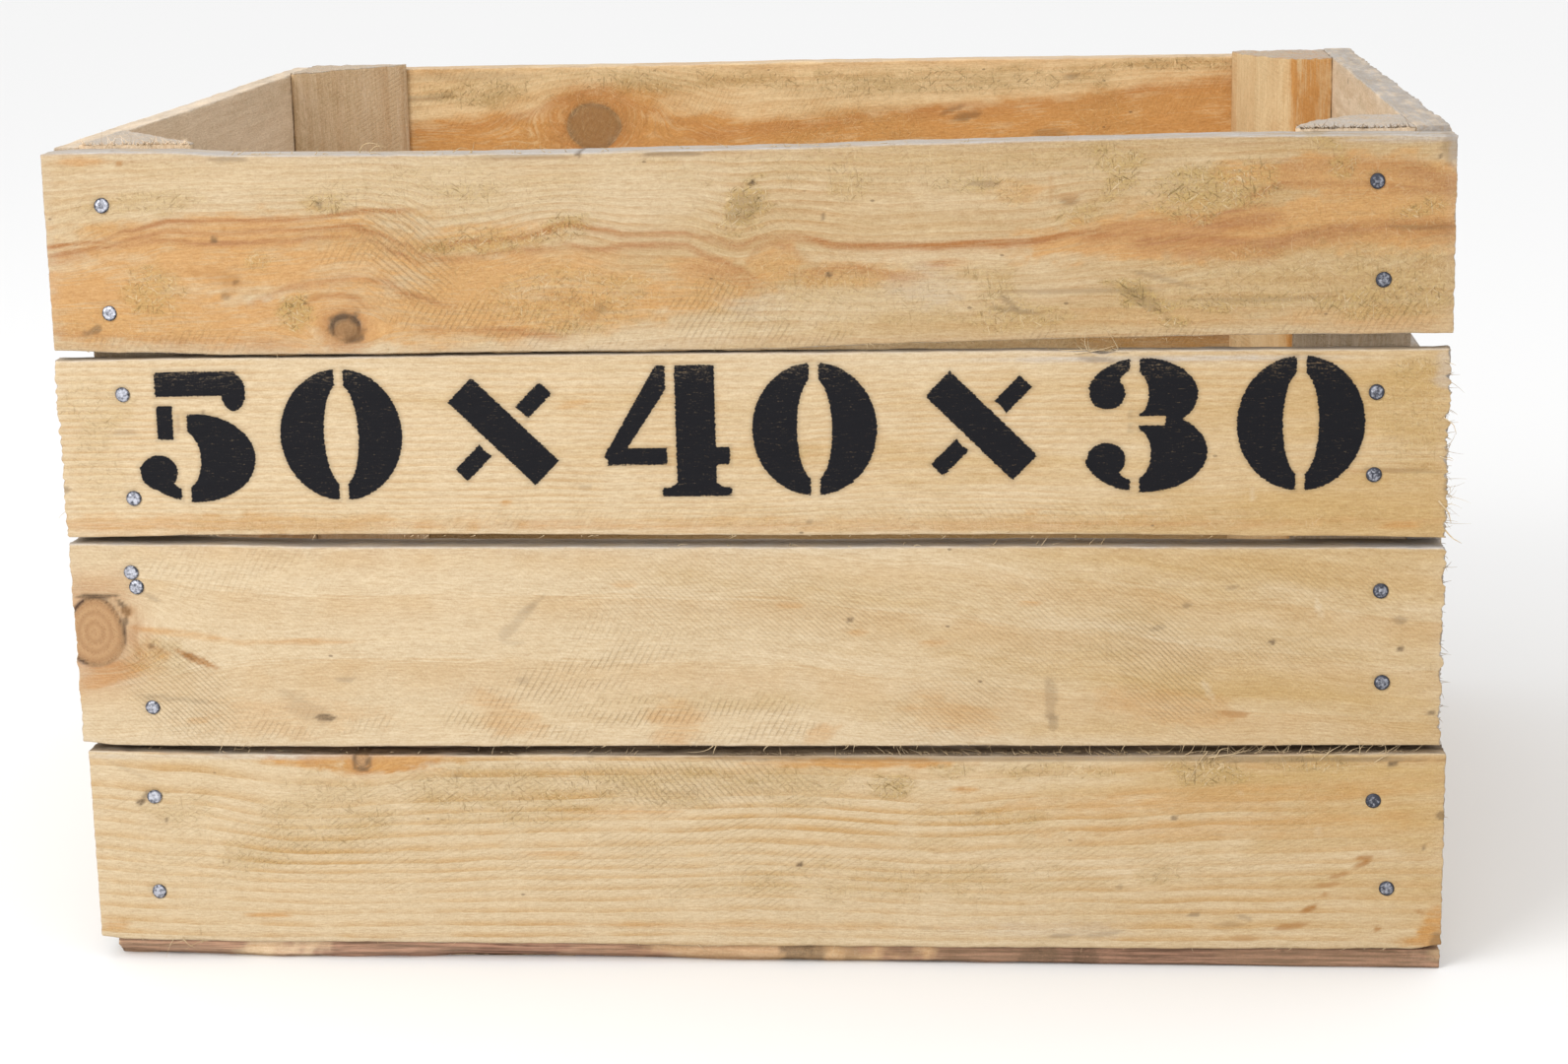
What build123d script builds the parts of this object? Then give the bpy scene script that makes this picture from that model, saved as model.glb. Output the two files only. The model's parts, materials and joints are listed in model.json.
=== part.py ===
"""A nailed softwood apple crate: four long slats on each long side, four short slats on each end,
five bottom slats, and a post in each corner that the side slats are nailed to.

The frame has its origin at the centre of the footprint, on the ground. +X runs along the length, -Y is
the marked long side, and +Z is up. Everything is in millimetres.
"""

import os

from build123d import *

# Driving dimensions
DEPTH = 400.0  # over the outer faces of the long slats
LONG_THICK = 14.0  # long slats, front and back
BOTTOM_THICK = 7.5  # bottom slats
END_OUTER = {"left": -250.0, "right": 249.3}  # outer faces of the end slats
END_INNER = {"left": -240.5, "right": 236.8}  # inner faces, where the posts stand
LONG_WALL = 297.0  # from the bottom slats up to the rim of a long side
POST_PROUD = 2.3  # posts stand this far above the long sides
END_PROUD = {"left": 1.1, "right": 2.3}  # and so do the ends
ARRIS = 0.6  # eased edge of a sawn slat

# Nails: flat-headed wire nails
NAIL_LENGTH = 40.0
SHANK_R = 1.25
HEAD_R = 2.8
HEAD_THICK = 1.1
POINT_LENGTH = 4.0
HEAD_SUNK = 0.5  # how deep a side nail's head is driven into the wood
BOTTOM_HEAD_SUNK = 1.5  # a bottom nail's head stays clear of the ground
NAIL_CLEARANCE = 0.03  # between a nail and its hole

# Worked-out levels and faces
FLOOR_TOP = BOTTOM_THICK
LONG_RIM = FLOOR_TOP + LONG_WALL
END_RIM = {side: LONG_RIM + proud for side, proud in END_PROUD.items()}
INNER_Y = DEPTH / 2 - LONG_THICK  # inner faces of the long slats

# Each side from its rim down: (height at the low end, height at the high end, gap below the low end,
# gap below the high end, low tip, high tip). Low is the -X end of a long side and the -Y end of an end.
FRONT_SLATS = [
    (71.9, 68.9, 2.4, 5.0, -250.5, 249.5),
    (65.8, 67.7, 2.9, 4.0, -251.0, 248.8),
    (76.7, 73.3, 3.5, 3.6, -250.7, 248.6),
    (73.8, 74.5, 0.0, 0.0, -249.2, 251.0),
]
BACK_SLATS = [
    (73.5, 72.5, 3.0, 4.0, -250.4, 249.8),
    (70.0, 71.5, 4.0, 2.5, -249.2, 250.4),
    (71.5, 71.0, 2.5, 3.0, -251.0, 249.4),
    (72.5, 72.5, 0.0, 0.0, -249.8, 250.6),
]
LEFT_SLATS = [
    (74.0, 73.0, 10.5, 9.0, -INNER_Y, INNER_Y),
    (69.0, 70.5, 4.5, 4.0, -INNER_Y, INNER_Y),
    (70.0, 69.5, 3.5, 4.0, -INNER_Y, INNER_Y),
    (66.6, 68.1, 0.0, 0.0, -INNER_Y, INNER_Y),
]
RIGHT_SLATS = [
    (73.0, 74.5, 17.3, 15.8, -INNER_Y, INNER_Y),
    (66.5, 67.5, 4.0, 3.5, -INNER_Y, INNER_Y),
    (68.0, 67.5, 3.5, 4.0, -INNER_Y, INNER_Y),
    (67.0, 66.5, 0.0, 0.0, -INNER_Y, INNER_Y),
]

# Bottom slats from the front: (width, gap behind, left tip, right tip)
BOTTOM_SLATS = [
    (73.0, 7.5, -243.2, 250.8),
    (70.0, 9.0, -247.0, 246.5),
    (75.0, 8.0, -245.5, 248.5),
    (69.0, 9.5, -248.5, 245.0),
    (74.5, 0.0, -246.0, 248.0),
]
BOTTOM_FRONT_Y = -DEPTH / 2 + 2.0

# Posts: (leg along X, leg along Y, width of the flat at the far end of the Y leg, bulge of the slanted
# face). The left pair is sawn triangular, and the right pair keeps the round of the log.
POSTS = {
    "front_left": (42.0, 53.0, 2.5, 0.0),
    "front_right": (41.5, 46.0, 15.0, 4.0),
    "back_left": (44.5, 50.0, 2.5, 0.0),
    "back_right": (42.0, 52.0, 18.0, 4.5),
}
POST_TIP = 2.5  # the thin tips are broken off this wide

# Wane on the front edge of the front bottom slat: (x, how high it reaches, how far in it reaches)
WANE = [
    (-250.0, 4.3, 7.0),
    (-220.0, 3.2, 5.0),
    (-181.0, 1.6, 3.0),
    (-150.0, 2.1, 3.0),
    (-100.0, 3.4, 6.0),
    (-60.0, 3.5, 6.0),
    (0.0, 2.4, 4.0),
    (60.0, 1.7, 3.0),
    (150.0, 1.1, 2.0),
    (255.0, 0.7, 1.0),
]

# Nail places
FRONT_NAILS = {  # as (x, z), from the rim down; one was driven again beside a knot
    "left": [(-229.2, 286.0), (-229.1, 247.1), (-226.5, 217.1), (-224.9, 178.6), (-227.9, 150.6),
             (-226.3, 145.2), (-223.3, 99.1), (-225.0, 64.3), (-225.6, 27.0)],
    "right": [(222.5, 289.2), (225.3, 254.8), (223.7, 215.1), (223.3, 185.5), (226.6, 143.1),
              (227.7, 109.3), (225.5, 64.9), (231.0, 31.5)],
}
BACK_NAIL_X = 225.5  # on the back, from the middle
EDGE_SHARE = 0.22  # elsewhere a nail lies this share of its slat's height from each edge
END_NAIL_IN = 13.0  # end nails lie this far inside the inner faces of the long slats
LATERAL = (0.9, -1.3, 1.6, -0.4, -1.8, 0.6, 1.1, -0.7)  # hand-driven nails wander this much
NAIL_STEP = 4.2  # an end nail keeps this far above or below the nails that cross it


def slat_outline(low, high, z_low, z_high, height_low, height_high):
    """A slat's four-cornered outline in its own side's plane, as (along, up) points."""
    return [
        (low, z_low - height_low),
        (high, z_high - height_high),
        (high, z_high),
        (low, z_low),
    ]


def upright_slat(outline, plane, thick):
    """The outline, extruded by the slat's thickness against the plane's normal, with eased long edges."""
    with BuildPart() as slat:
        with BuildSketch(plane):
            with BuildLine():
                Polyline(*outline, close=True)
            make_face()
        extrude(amount=-thick)
        chamfer(slat.edges().filter_by(lambda e: e.length > 2 * thick), ARRIS)
    return slat.part


def outlines(slats, rim):
    """Each slat's outline down one side of the crate, from its rim."""
    z_low = z_high = rim
    found = []
    for height_low, height_high, gap_low, gap_high, low, high in slats:
        found.append(slat_outline(low, high, z_low, z_high, height_low, height_high))
        z_low -= height_low + gap_low
        z_high -= height_high + gap_high
    return found


def post_outline(across, deep, flat, bulge):
    """A corner post in plan, with its square corner at the origin and its legs along +X and +Y."""
    tip, shoulder = (across, POST_TIP), (flat, deep)
    with BuildSketch() as plan:
        with BuildLine():
            Polyline(shoulder, (0, deep), (0, 0), (across, 0), tip)
            if bulge:
                SagittaArc(tip, shoulder, -bulge)
            else:
                Line(tip, shoulder)
        make_face()
    return plan.sketch


def corner_post(corner):
    """A post, turned into its corner of the crate."""
    along, across = corner.split("_")
    post = extrude(post_outline(*POSTS[corner]), LONG_WALL + POST_PROUD)
    if across == "right":
        post = mirror(post, Plane.YZ)
    if along == "back":
        post = mirror(post, Plane.XZ)
    y = INNER_Y if along == "back" else -INNER_Y
    return Pos(END_INNER[across], y, FLOOR_TOP) * post


def bottom_slat(front_y, width, left, right):
    """A bottom slat, flat on the ground."""
    with BuildPart() as slat:
        with BuildSketch(Plane.XY):
            with Locations(((left + right) / 2, front_y + width / 2)):
                Rectangle(right - left, width)
        extrude(amount=BOTTOM_THICK)
        chamfer(slat.edges().filter_by(Axis.X), ARRIS)
    return slat.part


def wane_cutter(front_y):
    """What the bark edge takes off the front bottom slat: a wedge that changes along its length."""
    sections = []
    for x, up, deep in WANE:
        with BuildSketch(Plane.YZ.offset(x)) as section:
            with BuildLine():
                Polyline((front_y - 2, -2), (front_y + deep, -2), (front_y + deep, 0),
                         (front_y, up), (front_y - 2, up), close=True)
            make_face()
        sections.append(section.sketch.face())
    return loft(sections, ruled=True)


def nail(grow=0.0):
    """A nail with its head's outer face on the XY plane, pointing along -Z. grow makes its hole."""
    shank_end = POINT_LENGTH - NAIL_LENGTH
    with BuildPart() as made:
        with BuildSketch(Plane.XZ):
            with BuildLine():
                Polyline(
                    (0, grow),
                    (HEAD_R + grow, grow),
                    (HEAD_R + grow, -HEAD_THICK - grow),
                    (SHANK_R + grow, -HEAD_THICK - grow),
                    (SHANK_R + grow, shank_end),
                    (0, -NAIL_LENGTH - grow),
                    close=True,
                )
            make_face()
        revolve(axis=Axis.Z)
    return made.part


def nails_along(places, x_dir, z_dir):
    """A plane for each nail place, with the normal the way its head faces."""
    return [Plane(place, x_dir=x_dir, z_dir=z_dir) for place in places]


def nail_planes():
    """Every nail's place and direction, in named groups."""
    groups = {}
    head_y = DEPTH / 2 - HEAD_SUNK + HEAD_THICK
    back = outlines(BACK_SLATS, LONG_RIM)
    for name, side in (("left", -1), ("right", 1)):
        front_places = [(x, -head_y, z) for x, z in FRONT_NAILS[name]]
        groups[f"nails_front_{name}"] = nails_along(front_places, (1, 0, 0), (0, -1, 0))
        levels = edge_levels(back, side)
        back_places = [(side * BACK_NAIL_X + LATERAL[i], head_y, z) for i, z in enumerate(levels)]
        groups[f"nails_back_{name}"] = nails_along(back_places, (-1, 0, 0), (0, 1, 0))
    for name, side, slats in (("left", -1, LEFT_SLATS), ("right", 1, RIGHT_SLATS)):
        head_x = END_OUTER[name] + side * (HEAD_THICK - HEAD_SUNK)
        lines = outlines(slats, END_RIM[name])
        for where, end in (("front", -1), ("back", 1)):
            crossing = [plane.origin.Z for plane in groups[f"nails_{where}_{name}"]]
            levels = [clear_of(z, crossing) for z in edge_levels(lines, end)]
            y = end * (INNER_Y - END_NAIL_IN)
            places = [(head_x, y + LATERAL[i], z) for i, z in enumerate(levels)]
            groups[f"nails_{name}_end_{where}"] = nails_along(places, (0, side, 0), (side, 0, 0))
    for name in ("left", "right"):
        x = (END_OUTER[name] + END_INNER[name]) / 2
        places = [(x, y, BOTTOM_HEAD_SUNK - HEAD_THICK) for y in bottom_nail_rows()]
        groups[f"nails_bottom_{name}"] = nails_along(places, (1, 0, 0), (0, 0, -1))
    return groups


def bottom_nail_rows():
    """Where the nails lie across the bottom slats: two in the width of each."""
    rows = []
    y = BOTTOM_FRONT_Y
    for width, gap, _, _ in BOTTOM_SLATS:
        rows += [y + EDGE_SHARE * width, y + (1 - EDGE_SHARE) * width]
        y += width + gap
    return rows


def edge_levels(lines, end):
    """Two nail heights for each slat outline, at its low end (-1) or high end (1)."""
    levels = []
    for line in lines:
        bottom, top = (line[0], line[3]) if end < 0 else (line[1], line[2])
        inset = EDGE_SHARE * (top[1] - bottom[1])
        levels += [top[1] - inset, bottom[1] + inset]
    return levels


def clear_of(level, crossing):
    """The level, moved down past any crossing nail that is too near."""
    while any(abs(level - other) < NAIL_STEP for other in crossing):
        level -= NAIL_STEP / 2
    return level


def crate():
    """Every piece of wood by name, before its nail holes."""
    pieces = {}
    front = Plane((0, -DEPTH / 2, 0), x_dir=(1, 0, 0), z_dir=(0, -1, 0))
    back = Plane((0, INNER_Y, 0), x_dir=(1, 0, 0), z_dir=(0, -1, 0))
    left = Plane((END_INNER["left"], 0, 0), x_dir=(0, 1, 0), z_dir=(1, 0, 0))
    right = Plane((END_OUTER["right"], 0, 0), x_dir=(0, 1, 0), z_dir=(1, 0, 0))
    left_thick = END_INNER["left"] - END_OUTER["left"]
    right_thick = END_OUTER["right"] - END_INNER["right"]
    sides = [
        ("front_slat", FRONT_SLATS, LONG_RIM, front, LONG_THICK),
        ("back_slat", BACK_SLATS, LONG_RIM, back, LONG_THICK),
        ("left_end_slat", LEFT_SLATS, END_RIM["left"], left, left_thick),
        ("right_end_slat", RIGHT_SLATS, END_RIM["right"], right, right_thick),
    ]
    for name, slats, rim, plane, thick in sides:
        for i, outline in enumerate(outlines(slats, rim), 1):
            pieces[f"{name}_{i}"] = upright_slat(outline, plane, thick)
    for corner in POSTS:
        pieces[f"corner_post_{corner}"] = corner_post(corner)
    y = BOTTOM_FRONT_Y
    for i, (width, gap, left_tip, right_tip) in enumerate(BOTTOM_SLATS, 1):
        pieces[f"bottom_slat_{i}"] = bottom_slat(y, width, left_tip, right_tip)
        y += width + gap
    pieces["bottom_slat_1"] -= wane_cutter(BOTTOM_FRONT_Y)
    return pieces


def drilled(piece, holes):
    """The piece without the nail holes that reach it."""
    box = piece.bounding_box()
    for hole in holes:
        if boxes_meet(box, hole.bounding_box()):
            piece = piece - hole
    return piece


def boxes_meet(a, b):
    """True if two bounding boxes overlap."""
    return all(
        low_a < high_b and low_b < high_a
        for low_a, high_a, low_b, high_b in zip(a.min, a.max, b.min, b.max)
    )


def main():
    os.makedirs("parts", exist_ok=True)
    one_nail, one_hole = nail(), nail(NAIL_CLEARANCE)
    groups = nail_planes()
    holes = [plane.location * one_hole for planes in groups.values() for plane in planes]
    for name, piece in crate().items():
        export_step(drilled(piece, holes), f"parts/{name}.step")
    for name, planes in groups.items():
        nails = Compound(children=[plane.location * one_nail for plane in planes])
        export_step(nails, f"parts/{name}.step")


main()
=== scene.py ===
"""The looks of a nailed apple crate: rough sawn boards, split posts, wire nails and a stencilled size mark.

Every board is a fine closed mesh in the place of its CAD node. Its points carry what the wood materials
need: where they lie along the grain, which growth ring they are on, and what knots, streaks, stains and
paint do there. Sizes and places are in millimetres in the row frame, and become metres in the meshes.
"""

import json
import math
from dataclasses import dataclass, field
from itertools import product

import bpy
import numpy as np
from mathutils import Euler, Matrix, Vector


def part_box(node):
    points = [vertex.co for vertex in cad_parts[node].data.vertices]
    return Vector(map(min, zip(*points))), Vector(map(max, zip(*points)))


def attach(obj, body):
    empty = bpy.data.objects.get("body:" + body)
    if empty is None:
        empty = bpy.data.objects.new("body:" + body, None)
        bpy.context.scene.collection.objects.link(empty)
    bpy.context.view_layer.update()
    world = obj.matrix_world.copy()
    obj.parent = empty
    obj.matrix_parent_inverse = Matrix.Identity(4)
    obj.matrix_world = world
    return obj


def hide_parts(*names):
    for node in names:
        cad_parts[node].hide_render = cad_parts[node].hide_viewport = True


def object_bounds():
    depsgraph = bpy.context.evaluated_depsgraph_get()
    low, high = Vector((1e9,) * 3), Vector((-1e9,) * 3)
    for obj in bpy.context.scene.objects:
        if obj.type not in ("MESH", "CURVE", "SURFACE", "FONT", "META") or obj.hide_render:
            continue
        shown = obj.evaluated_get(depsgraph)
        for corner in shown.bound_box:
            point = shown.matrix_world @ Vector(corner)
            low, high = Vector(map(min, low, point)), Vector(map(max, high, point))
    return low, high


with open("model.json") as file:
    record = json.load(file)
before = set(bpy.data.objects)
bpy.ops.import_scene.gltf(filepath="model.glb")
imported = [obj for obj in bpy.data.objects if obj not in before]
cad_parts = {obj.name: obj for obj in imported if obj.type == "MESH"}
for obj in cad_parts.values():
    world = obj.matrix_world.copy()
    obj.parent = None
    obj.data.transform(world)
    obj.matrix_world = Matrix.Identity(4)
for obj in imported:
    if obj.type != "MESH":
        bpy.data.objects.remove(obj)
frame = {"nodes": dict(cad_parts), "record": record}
cad_low, cad_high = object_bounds()

MM = 0.001
FINE_STEP = 1.02  # between mesh points on the front slats
MEDIUM_STEP = 1.6  # and on the other slats that the photograph shows
COARSE_STEP = 2.6  # and on the rest
SHOWN_SLOTS = {part["node"]: part["material_slot"] for part in frame["record"]["subparts"]}

# Camera: where the photograph was taken from. Its angles are in degrees.
CAMERA_PLACE = (108.3, -1280.6, 413.0)
CAMERA_YAW = 5.002  # turned to the left
CAMERA_PITCH = 12.861  # tipped down
CAMERA_ROLL = 1.277
LENS = 70.87  # focal length


# ---------------------------------------------------------------- numbers

MIXERS = np.array([374761393, 668265263, 2246822519, 3266489917], np.uint32)  # large primes
SEED_MIXER = 40503


def hashed(ix, iy, iz, seed):
    """A repeatable random value from 0 to 1 for each whole-numbered place."""
    h = ix * MIXERS[0] + iy * MIXERS[1] + iz * MIXERS[2]
    h = h + np.uint32(seed * SEED_MIXER % 2**32)
    h = (h ^ (h >> np.uint32(15))) * MIXERS[2]
    h = (h ^ (h >> np.uint32(13))) * MIXERS[3]
    return (h ^ (h >> np.uint32(16))) / 2**32


def noise(points, size, seed):
    """Smooth random values from -1 to 1. size is how far apart the features are, along each axis."""
    q = np.asarray(points, float) / np.asarray(size, float) + 1000.0
    base = np.floor(q)
    f = q - base
    f = f * f * (3 - 2 * f)
    cell = base.astype(np.int64).astype(np.uint32)
    total = np.zeros(len(q))
    for corner in product((0, 1), repeat=3):
        weight = np.ones(len(q))
        for axis, up in enumerate(corner):
            weight *= f[:, axis] if up else 1 - f[:, axis]
        x, y, z = (cell[:, axis] + np.uint32(up) for axis, up in enumerate(corner))
        total += weight * hashed(x, y, z, seed)
    return 2 * total - 1


def noise_along(values, size, seed):
    """Smooth random values from -1 to 1 along one line."""
    points = np.zeros((len(values), 3))
    points[:, 0] = values
    return noise(points, (size, 1, 1), seed)


def ramp(values, low, high):
    """0 at low, 1 at high, and smooth between them."""
    t = np.clip((values - low) / (high - low), 0, 1)
    return t * t * (3 - 2 * t)


def curve_through(points, values):
    """The height of a smooth line through a few given (place, height) points, at each value."""
    xs, ys = np.array(points, float).T
    i = np.clip(np.searchsorted(xs, values) - 1, 0, len(xs) - 2)
    t = ramp(values, xs[i], xs[i + 1])
    return ys[i] * (1 - t) + ys[i + 1] * t


# ---------------------------------------------------------------- the painted size mark

GLYPH_HEIGHT = 48.0
MARK_LEFT = -222.0
MARK_RIGHT = 220.0
MARK_FOOT = 177.3  # at its left end
MARK_RISE = 3.0  # from its left end to its right end
BRIDGE = 3.2  # width of a stencil's bridges
MARK = "50x40x30"  # the crate's own size in centimetres
SIGN_WIDTH = 37.0
DIGIT_WIDTH = 45.0
PAIR_GAP = 8.0  # between the digits of one number
THINNER = (38.7, 48.7)  # heights above the mark's foot, from which and up to which the paint gets thinner
UNPAINTED = -9.0  # a paint depth, where the mark's outline is at 0


def oval(x, y, cx, cy, rx, ry):
    """About how deep inside an oval each point is."""
    dx, dy = (x - cx) / rx, (y - cy) / ry
    k = np.sqrt(dx * dx + dy * dy) + 1e-6
    slope = np.sqrt((dx / rx) ** 2 + (dy / ry) ** 2) / k + 1e-6
    return (1 - k) / slope


def block(x, y, x0, y0, x1, y1):
    """How deep inside a rectangle each point is."""
    dx, dy = np.abs(x - (x0 + x1) / 2) - (x1 - x0) / 2, np.abs(y - (y0 + y1) / 2) - (y1 - y0) / 2
    outside = np.hypot(np.maximum(dx, 0), np.maximum(dy, 0))
    return -(outside + np.minimum(np.maximum(dx, dy), 0))


def stroke(x, y, start, end, thick_start, thick_end):
    """How deep inside a straight stroke, whose half width changes along it, each point is."""
    (x0, y0), (x1, y1) = start, end
    dx, dy = x1 - x0, y1 - y0
    length = math.hypot(dx, dy)
    along = ((x - x0) * dx + (y - y0) * dy) / length
    aside = np.abs((x - x0) * dy - (y - y0) * dx) / length
    t = np.clip(along / length, 0, 1)
    half = thick_start + (thick_end - thick_start) * t
    return np.minimum(half - aside, np.minimum(along, length - along))


def zero(x, y):
    """The digit 0."""
    cx, cy = DIGIT_WIDTH / 2, GLYPH_HEIGHT / 2
    ring = np.minimum(oval(x, y, cx, cy, cx, cy + 0.3), -oval(x, y, cx, cy, 6.2, 18.5))
    return np.minimum(ring, np.abs(x - cx) - BRIDGE / 2)


def three(x, y):
    """The digit 3."""
    upper = np.minimum(oval(x, y, 20, 35, 19.5, 13.2), -oval(x, y, 16.5, 35.2, 5.6, 8.4))
    lower = np.minimum(oval(x, y, 21, 14.3, 22, 14.6), -oval(x, y, 16.5, 13.8, 6.4, 9.6))
    bowls = np.minimum(np.maximum(upper, lower), -block(x, y, -5, 12, 15.7, 37))
    balls = np.maximum(oval(x, y, 7.6, 35.6, 6.4, 6.0), oval(x, y, 7.2, 11.6, 6.9, 6.4))
    shape = np.minimum(np.maximum(bowls, balls), np.abs(x - 17.2) - BRIDGE / 2)
    return np.minimum(shape, -block(x, y, -5, 25.6 - BRIDGE / 2, 28, 25.6 + BRIDGE / 2))


def four(x, y):
    """The digit 4."""
    stem = block(x, y, 25.5, 0, 40, GLYPH_HEIGHT)
    foot = np.minimum(np.maximum(block(x, y, 20, 0, 45.5, 3.4), oval(x, y, 32.8, 0, 11, 6.6)), y)
    bar = block(x, y, 0.5, 11.6, 45, 18.0)
    slope = stroke(x, y, (24.4, 49.5), (1.4, 13.2), 4.2, 2.8)
    left = np.minimum(np.maximum(bar, slope), 25.5 - BRIDGE - x)
    right = np.maximum(np.maximum(stem, np.minimum(bar, x - 25.5)), foot)
    return np.minimum(np.maximum(left, right), GLYPH_HEIGHT - y)


def five(x, y):
    """The digit 5."""
    flag = np.maximum(block(x, y, 7.5, 38.8, 38, GLYPH_HEIGHT), oval(x, y, 36.5, 40.2, 4.6, 7.0))
    stem = block(x, y, 7.5, 23, 13.6, 38.8 - BRIDGE)
    bowl = np.minimum(oval(x, y, 21.5, 16, 22, 16.4), -oval(x, y, 16.4, 15.6, 6.6, 10.8))
    bowl = np.minimum(bowl, -block(x, y, -5, 13, 15.5, 34))
    bowl = np.maximum(bowl, oval(x, y, 7.3, 10.8, 7.0, 6.6))
    bowl = np.minimum(bowl, np.abs(x - 17.0) - BRIDGE / 2)
    return np.maximum(np.maximum(np.minimum(flag, GLYPH_HEIGHT - y), stem), bowl)


def times(x, y):
    """A multiplication sign, with its thin arm bridged."""
    fat = stroke(x, y, (3.0, 40.0), (34.0, 9.0), 6.4, 6.4)
    thin = stroke(x, y, (34.5, 40.5), (2.5, 8.5), 3.2, 3.2)
    centre = np.hypot(x - 18.5, y - 24.5)
    return np.maximum(fat, np.minimum(thin, centre - 6.6 - BRIDGE))


GLYPHS = {"0": zero, "3": three, "4": four, "5": five, "x": times}


def mark_depth(along, up):
    """How deep inside the painted mark each point of the marked slat is: negative outside it."""
    widths = [SIGN_WIDTH if c == "x" else DIGIT_WIDTH for c in MARK]
    pairs = sum(1 for a, b in zip(MARK, MARK[1:]) if "x" not in (a, b))
    wide = len(MARK) - 1 - pairs
    gap = (MARK_RIGHT - MARK_LEFT - sum(widths) - pairs * PAIR_GAP) / wide
    depth = np.full(len(along), UNPAINTED)
    left = MARK_LEFT
    for i, c in enumerate(MARK):
        foot = MARK_FOOT + MARK_RISE * (along - MARK_LEFT) / (MARK_RIGHT - MARK_LEFT)
        depth = np.maximum(depth, GLYPHS[c](along - left, up - foot))
        left += widths[i] + (PAIR_GAP if "x" not in MARK[i : i + 2] else gap)
    return depth


# ---------------------------------------------------------------- meshes

def box_lattice(a, b, c):
    """The points and quads of a closed box surface through the given steps along its three axes."""
    shape = (len(a), len(b), len(c))
    grid = np.stack(np.meshgrid(a, b, c, indexing="ij"), -1)
    i, j, k = np.indices(shape)
    last = [n - 1 for n in shape]
    on_surface = (i == 0) | (i == last[0]) | (j == 0) | (j == last[1]) | (k == 0) | (k == last[2])
    number = np.full(shape, -1)
    number[on_surface] = np.arange(on_surface.sum())
    quads = []
    sides = [
        (number[0], True), (number[-1], False), (number[:, 0], False), (number[:, -1], True),
        (number[:, :, 0], True), (number[:, :, -1], False),
    ]
    for side, flipped in sides:
        corners = [side[:-1, :-1], side[1:, :-1], side[1:, 1:], side[:-1, 1:]]
        if flipped:
            corners.reverse()
        quads.append(np.stack([corner.ravel() for corner in corners], -1))
    return grid[on_surface], np.concatenate(quads)


def mesh_piece(name, points, faces, attributes):
    """A smooth mesh object from points in mm, with one value or vector at each point per attribute."""
    mesh = bpy.data.meshes.new(name)
    faces = np.asarray(faces)
    mesh.vertices.add(len(points))
    mesh.vertices.foreach_set("co", (np.asarray(points) * MM).astype(np.float32).ravel())
    mesh.loops.add(faces.size)
    mesh.loops.foreach_set("vertex_index", faces.astype(np.int32).ravel())
    mesh.polygons.add(len(faces))
    mesh.polygons.foreach_set("loop_start", np.arange(0, faces.size, faces.shape[1], dtype=np.int32))
    mesh.update(calc_edges=True)
    for key, values in attributes.items():
        kind, slot = ("FLOAT_VECTOR", "vector") if values.ndim == 2 else ("FLOAT", "value")
        data = mesh.attributes.new(key, kind, "POINT").data
        data.foreach_set(slot, values.astype(np.float32).ravel())
    mesh.shade_smooth()
    piece = bpy.data.objects.new(name, mesh)
    bpy.context.scene.collection.objects.link(piece)
    return piece


def outward(points, faces):
    """The faces, turned over if they face into the solid."""
    a, b, c = (points[faces[:, i]] for i in range(3))
    d = points[faces[:, 3]]
    volume = np.einsum("ij,ij->", a, np.cross(b, c)) + np.einsum("ij,ij->", a, np.cross(c, d))
    return faces[:, ::-1] if volume < 0 else faces


def steps(low, high, step, near_ends):
    """Places from low to high, about a step apart, with closer ones at both ends."""
    middle = np.linspace(low, high, max(2, round((high - low) / step) + 1))[1:-1]
    inner = [m for m in middle if low + near_ends[-1] + step / 3 < m < high - near_ends[-1] - step / 3]
    return np.array([low + e for e in near_ends] + inner + [high - e for e in reversed(near_ends)])


def eased(points, low, high, radius):
    """The points of a box surface, with its edges and corners rounded to a radius."""
    core = np.clip(points, low + radius[:, None], high - radius[:, None])
    away = points - core
    length = np.linalg.norm(away, axis=1)[:, None]
    return np.where(length > 1e-9, core + away * radius[:, None] / np.maximum(length, 1e-9), points)


STRAND_RINGS = 8
STRAND_TIP = 0.18  # a strand's radius at its tip, as a share of its radius at its root
SOME_WAY = np.array([0.31, 0.52, 0.79])  # that no strand is likely to run


def loose_paths(rng, count, start, stop, way, length, spread):
    """Middle lines of loose fibres that leave the line from start to stop, roughly the given way."""
    start, stop = np.array(start, float), np.array(stop, float)
    base = start + (stop - start) * rng.uniform(0, 1, (count, 1))
    direction = np.array(way, float) + rng.normal(0, spread, (count, 3))
    direction /= np.linalg.norm(direction, axis=1)[:, None]
    bend = rng.normal(0, 0.45, (count, 3))
    reach = length * rng.uniform(0.3, 1.3, (count, 1))
    t = np.linspace(-0.15, 1, STRAND_RINGS)[None, :, None]
    return base[:, None] + reach[:, None] * (direction[:, None] * t + bend[:, None] * t * np.abs(t))


def drawn_path(points):
    """A fibre's middle line through given points."""
    points = np.array(points, float)
    at = np.linspace(0, len(points) - 1, STRAND_RINGS)
    return np.stack([np.interp(at, range(len(points)), points[:, axis]) for axis in range(3)], -1)[None]


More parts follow.
